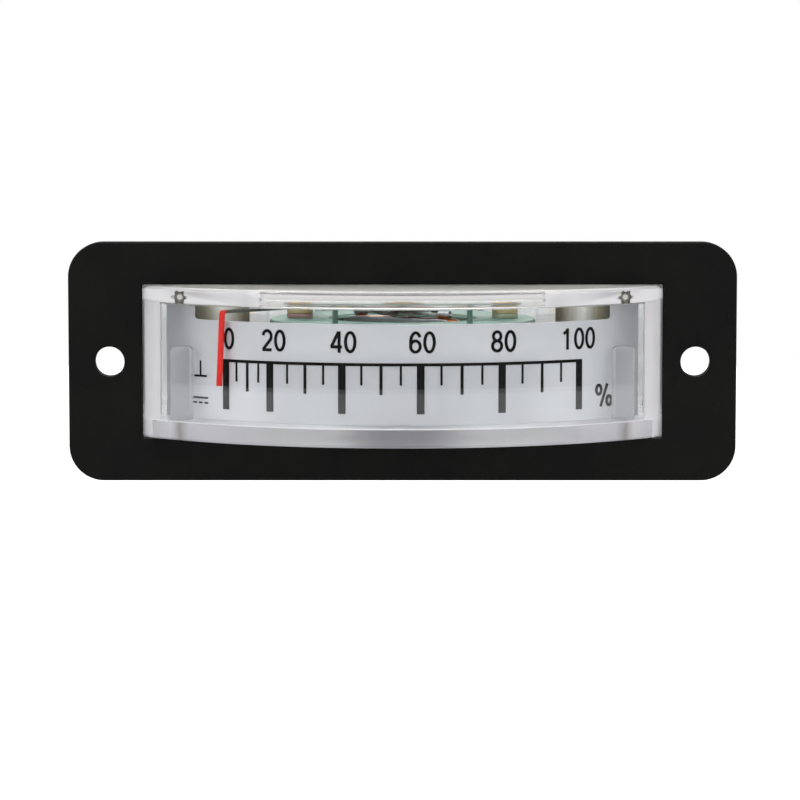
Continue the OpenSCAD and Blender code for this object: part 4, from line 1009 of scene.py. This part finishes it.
# Hairsprings
spring = {"Turns": 4.0, "Inner Radius": 0.88, "Outer Radius": 3.84, "Strip Thickness": 0.12,
          "Strip Width": 0.35, "Finish": springBronze}
for side, body in (("upper", "zero_setter"), ("lower", "frame")):
    springZ = sum(spanMm(side + "_hairspring", "z")) / 2
    spiral = grow(bpy.data.meshes.new("spring"), springTree, spring)
    placePiece(side + "_spring", [spiral], springBronze, side + "_hairspring",
               shift(0, pivotY, springZ) @ turned(90), body)
low, high = boxMm("lower_spring_post")
springPost = rodMesh((high.x - low.x) / 2, low.z, high.z, 0.08, 24)
placePiece("spring_pin", [springPost], turnedBrass, "lower_spring_post",
           shift(0, (low.y + high.y) / 2, 0))

# Moving coil: pressed former, and a winding of wire laid side by side
coil = {"half": 6.0, "wall": 0.95, "halfWidth": 1.2, "former": 0.2, "flange": 0.2, "wire": 0.055,
        "corner": 0.5}
lowZ, highZ = coilLow.z + coil["wall"], coilHigh.z - coil["wall"]


def coilLoop(out):
    return rectLoop(2 * (coil["half"] + out), highZ - lowZ + 2 * out, coil["corner"] + out * 0.5, 0,
                    (lowZ + highZ) / 2, 6)


halfWidth = coil["halfWidth"]
former = [plateMesh([coilLoop(coil["former"]), coilLoop(0)], -halfWidth, halfWidth, 0.03, True, 1)]
for y in (-halfWidth, halfWidth - coil["flange"]):
    former.append(plateMesh([coilLoop(coil["wall"]), coilLoop(0)], y, y + coil["flange"], 0.04, True, 1))
placePiece("coil_frame", former, pressedAluminium, "coil_former", onCoil, "moving_coil")
room = halfWidth - coil["flange"] - ease
wireLoop = coilLoop(coil["wall"] - ease - coil["wire"])
bed = plateMesh([wireLoop, coilLoop(coil["former"] + ease)], -room + 0.02, room - 0.02, 0.03, True, 1)
turnCount = int(2 * room / (2.06 * coil["wire"]))
pitch = 2 * (room - coil["wire"]) / (turnCount - 1)
turns = row(wireMesh([(x, 0, z) for x, z in wireLoop], coil["wire"], 2, True), turnCount,
            (0, coil["wire"] - room, 0), (0, pitch, 0), copperWire)
placePiece("coil_wire", [bed, turns], copperWire, "coil_winding", onCoil, "moving_coil")

# Staffs: turned steel with a foot on the coil, a collar for the spring and a pivot
staff = {"foot": 1.2, "collar": 0.8, "pin": 0.3, "tip": 0.06, "tipLength": 0.25, "edge": 0.06,
         "footThick": 0.3}
foot, collar, pinR, edge = staff["foot"], staff["collar"], staff["pin"], staff["edge"]
tip, footZ, collarTop = boxMm("upper_pivot")[1].z, coilHigh.z, boxMm("upper_hairspring")[1].z
upperStaff = [(0, footZ), (foot - edge, footZ), (foot, footZ + edge), (foot, hubZ - edge),
              (foot - edge, hubZ), (pinR, hubZ), (pinR, hubTop), (collar - edge, hubTop),
              (collar, hubTop + edge), (collar, collarTop - edge), (collar - edge, collarTop),
              (pinR, collarTop), (pinR, tip - staff["tipLength"]), (staff["tip"], tip), (0, tip)]
(tip, footTop), collarLow = spanMm("lower_pivot", "z"), boxMm("lower_hairspring")[0].z
footLow = footTop - staff["footThick"]
lowerStaff = [(0, tip), (staff["tip"], tip), (pinR, tip + staff["tipLength"]), (pinR, collarLow),
              (collar - edge, collarLow), (collar, collarLow + edge), (collar, footLow),
              (foot - edge, footLow), (foot, footLow + edge), (foot, footTop - edge), (foot - edge, footTop),
              (0, footTop)]
for side, profile in (("upper", upperStaff), ("lower", lowerStaff)):
    placePiece(side + "_staff", [turnMesh(profile, 40)], pivotSteel, side + "_pivot", onCoil,
               "moving_coil")
print("movement made")

# Rear terminals: threaded studs, washers, solder lugs and chamfered nuts
terminal = {"stud": 1.5, "head": 2.75, "headThick": 1.5, "washer": 3.2, "eyeX": 13.5, "eye": 0.75,
            "eyeRim": 1.65, "flats": 5.5, "flare": 0.45, "thread": 0.22, "pitch": 0.5}
studLow, studHigh = spanMm("terminal_studs", "y")
washLow, washHigh = spanMm("terminal_washers", "y")
nutLow, nutHigh = spanMm("terminal_nuts", "y")
studR, studHole = terminal["stud"], terminal["stud"] + 0.05
thread = moved(threadMesh(studR, terminal["thread"], terminal["pitch"], washLow, studHigh), turned(-90, "X"))
stud = [rodMesh(terminal["head"], studLow, studLow + terminal["headThick"], 0.15, 56, alongY=True),
        rodMesh(studR - 0.06, studLow + 1.4, washLow + 0.3, 0.02, 40, alongY=True), thread]
placePiece("stud_rods", [pair(mesh, studX, 0, 0, turnedBrass) for mesh in stud], turnedBrass,
           "terminal_studs")
washer = rodMesh(terminal["washer"], washLow, washHigh, 0.08, 56, studHole, True)
placePiece("stud_washers", [pair(washer, studX, 0, 0, brightZinc)], brightZinc, "terminal_washers")
eyeX = terminal["eyeX"] - studX
meet = degrees(asin(terminal["eyeRim"] / terminal["washer"]))
lugLoop = circleLoop(terminal["washer"], 40, 0, 0, meet, 360 - 2 * meet)
lugLoop += circleLoop(terminal["eyeRim"], 20, eyeX, 0, -90, 180)
studLoop = circleLoop(studHole, 40)
lug = plateMesh([lugLoop, studLoop, circleLoop(terminal["eye"], 28, eyeX)], *spanMm("solder_lugs", "y"), 0.06,
                True)
lugs = [moved(lug, shift(studX, 0, 0)), moved(lug, shift(-studX, 0, 0) @ mirror)]
placePiece("solder_tags", lugs, tinnedCopper, "solder_lugs")
hexR, flare = terminal["flats"] / sqrt(3), terminal["flare"]
cone = [(0, nutLow), (hexR - flare, nutLow), (hexR, nutLow + flare * 0.58), (hexR, nutHigh - flare * 0.58),
        (hexR - flare, nutHigh), (0, nutHigh)]
nut = carve(plateMesh([circleLoop(hexR, 6), studLoop], nutLow, nutHigh, 0.04, True, 1),
            [turnMesh(cone, 96, True)], "INTERSECT")
placePiece("stud_nuts", [pair(nut, studX, 0, 0, turnedBrass, (0, 0.3, 0), 5)], turnedBrass,
           "terminal_nuts")

# Series resistor with plain value bands, and the leads
bodyLow, bodyHigh = boxMm("series_resistor")
half = bodyHigh.x
resistorY = (bodyLow.y + bodyHigh.y) / 2
resistor = {"cap": 1.4, "waist": 0.25, "shoulder": 0.5, "crown": 0.45, "body": "#C9A878", "halfBand": 0.2,
            "bands": {-2.5: "#7A3B18", -1.3: "#1A1A1A", -0.6: "#C4471E", 0.1: "#7A3B18", 2.5: "#B08A2E"}}
outline = [(0, -half)]
for x in [-half + 2 * half * k / 40 for k in range(41)]:
    fromEnd = half - abs(x)
    shoulder = min(1, max(0, (fromEnd - resistor["cap"]) / resistor["shoulder"]))
    crown = sqrt(max(0, 1 - max(0, 1 - fromEnd / resistor["crown"]) ** 2))
    outline.append(((bodyHigh.z - resistor["waist"] * shoulder) * crown, x))
outline.append((0, half))
# baked lacquer with painted bands: beige, glossy
lacquer = makeFinish("resistorLacquer", None, (0.25, 0.35), grain=0.2)
stops = [(-half, resistor["body"])]
for x, code in resistor["bands"].items():
    stops += [(x - resistor["halfBand"], code), (x + resistor["halfBand"], resistor["body"])]
tintAcross(lacquer, stops + [(half, resistor["body"])], folded=False, blend="CONSTANT")
placePiece("resistor_rod", [turnMesh(outline, 40)], lacquer, "series_resistor",
           shift(0, resistorY, 0) @ turned(90, "Y"))
wire = {"radius": 0.25, "bend": 1.0, "inset": 0.2}
bridgeX = screwX - movement["pillar"]
wireZ = (bridgeLow + bridgeHigh) / 2
start = half - wire["inset"]
leadTop = boxMm("base_lead")[1].z - wire["radius"]
leadY = baseHigh.y - 2 * wire["radius"]
routes = [[(start, resistorY, 0), (studX, resistorY, 0), (studX, studLow, 0)],
          [(-start, resistorY, 0), (-bridgeX, resistorY, 0), (-bridgeX, resistorY, wireZ),
           (-bridgeX, pivotY + halfBar, wireZ)],
          [(tagX, studLow, leadTop), (tagX, leadY, leadTop), (tagX, leadY, tagTop)]]
leads = [wireMesh(softPath(route, wire["bend"]), wire["radius"]) for route in routes]
placePiece("resistor_wires", leads[:2], tinnedCopper, "resistor_leads")
placePiece("base_wire", leads[2:], leadSleeve, "base_lead")
print("terminals and leads made")

# Stage: pale floor well below the held part, soft lamps, white surround
stage = {"floorZ": -0.045, "floorR": 0.51, "floor": "#DADBDC", "lift": 0.65, "glassLift": 0.06,
         "ambient": 0.3, "frontGlow": 0.02, "skyGlow": 0.6, "backGlow": 0.8, "horizon": (-0.01, 0.07),
         "behind": (-0.25, 0.15)}


def rayKinds(tree):  # camera rays, and rays that come by a mirror or through a clear piece
    path = addNode(tree, "ShaderNodeLightPath").outputs
    return path["Is Camera Ray"], combine(tree, "MAXIMUM", path["Is Glossy Ray"], path["Is Transmission Ray"])


floorMesh = bpy.data.meshes.new("floor")
rim = circleLoop(stage["floorR"], 128, 0, pivotY * mm)
floorMesh.from_pydata([(x, y, stage["floorZ"]) for x, y in rim], [], [list(range(len(rim)))])
floor = bpy.data.objects.new("floor", floorMesh)
scene.collection.objects.link(floor)
# pale matt paper
paper, tree, shader = newMaterial("palePaper")
setNode(shader, {"Base Color": hexToLinear(stage["floor"]), "Roughness": 0.9})
camera, mirrored = rayKinds(tree)
weak = combine(tree, "MULTIPLY", mirrored, stage["glassLift"])
lift = combine(tree, "MULTIPLY_ADD", camera, stage["lift"], weak)
glow = addNode(tree, "ShaderNodeEmission", {"Strength": lift})
total = addNode(tree, "ShaderNodeAddShader", {0: shader, 1: glow})
setNode(tree.nodes["Material Output"], {"Surface": total})
floorMesh.materials.append(paper)

world = bpy.data.worlds.new("studio")
scene.world = world
world.use_nodes = True
tree = world.node_tree
camera, mirrored = rayKinds(tree)
coords = addNode(tree, "ShaderNodeTexCoord").outputs["Generated"]
way = addNode(tree, "ShaderNodeSeparateXYZ", {"Vector": coords}).outputs
ahead = mapRange(tree, way["Z"], *stage["horizon"], stage["frontGlow"], stage["skyGlow"])
back = mapRange(tree, way["Y"], *stage["behind"])
around = addNode(tree, "ShaderNodeMix", {0: back, 2: ahead, 3: stage["backGlow"]}, data_type="FLOAT")
pick = addNode(tree, "ShaderNodeMix", {0: mirrored, 2: stage["ambient"], 3: around}, data_type="FLOAT")
white = addNode(tree, "ShaderNodeMix", {0: camera, 2: pick, 3: 1.0}, data_type="FLOAT")
setNode(tree.nodes["Background"], {"Color": (1, 1, 1, 1), "Strength": white})

lamps = {"overhead": dict(place=(0.0, -0.12, 0.55), size=0.5, power=2.2),
         "leftSoft": dict(place=(-0.45, -0.35, 0.3), size=0.35, power=1.15),
         "rightSoft": dict(place=(0.45, -0.35, 0.3), size=0.35, power=1.15),
         "rear": dict(place=(0.0, 0.5, 0.35), size=0.4, power=1.4)}


def aimed(name, data, place, target):
    obj = bpy.data.objects.new(name, data)
    obj.location = place
    obj.rotation_euler = (Vector(target) - obj.location).to_track_quat("-Z", "Y").to_euler()
    scene.collection.objects.link(obj)
    return obj


for name, lamp in lamps.items():
    light = bpy.data.lights.new(name, "AREA")
    light.size = lamp["size"]
    light.energy = lamp["power"]
    aimed(name, light, lamp["place"], (0, 0.01, 0))

# Camera at the photograph's view
view = {"distance": 0.353, "elevation": 4.75, "lens": 158.4, "aim": (-0.00025, -0.002, -0.00385)}
lens = bpy.data.cameras.new("view")
lens.lens = view["lens"]
lens.sensor_width = 36
lens.clip_start = 0.01
lookUp = radians(view["elevation"])
eye = (0, view["aim"][1] - view["distance"] * cos(lookUp), view["distance"] * sin(lookUp))
scene.camera = aimed("view", lens, eye, view["aim"])
scene.view_settings.view_transform = "Standard"
scene.cycles.max_bounces = 32  # light zigzags along the clear walls before it leaves them
scene.cycles.transmission_bounces = 32
print("stage made")
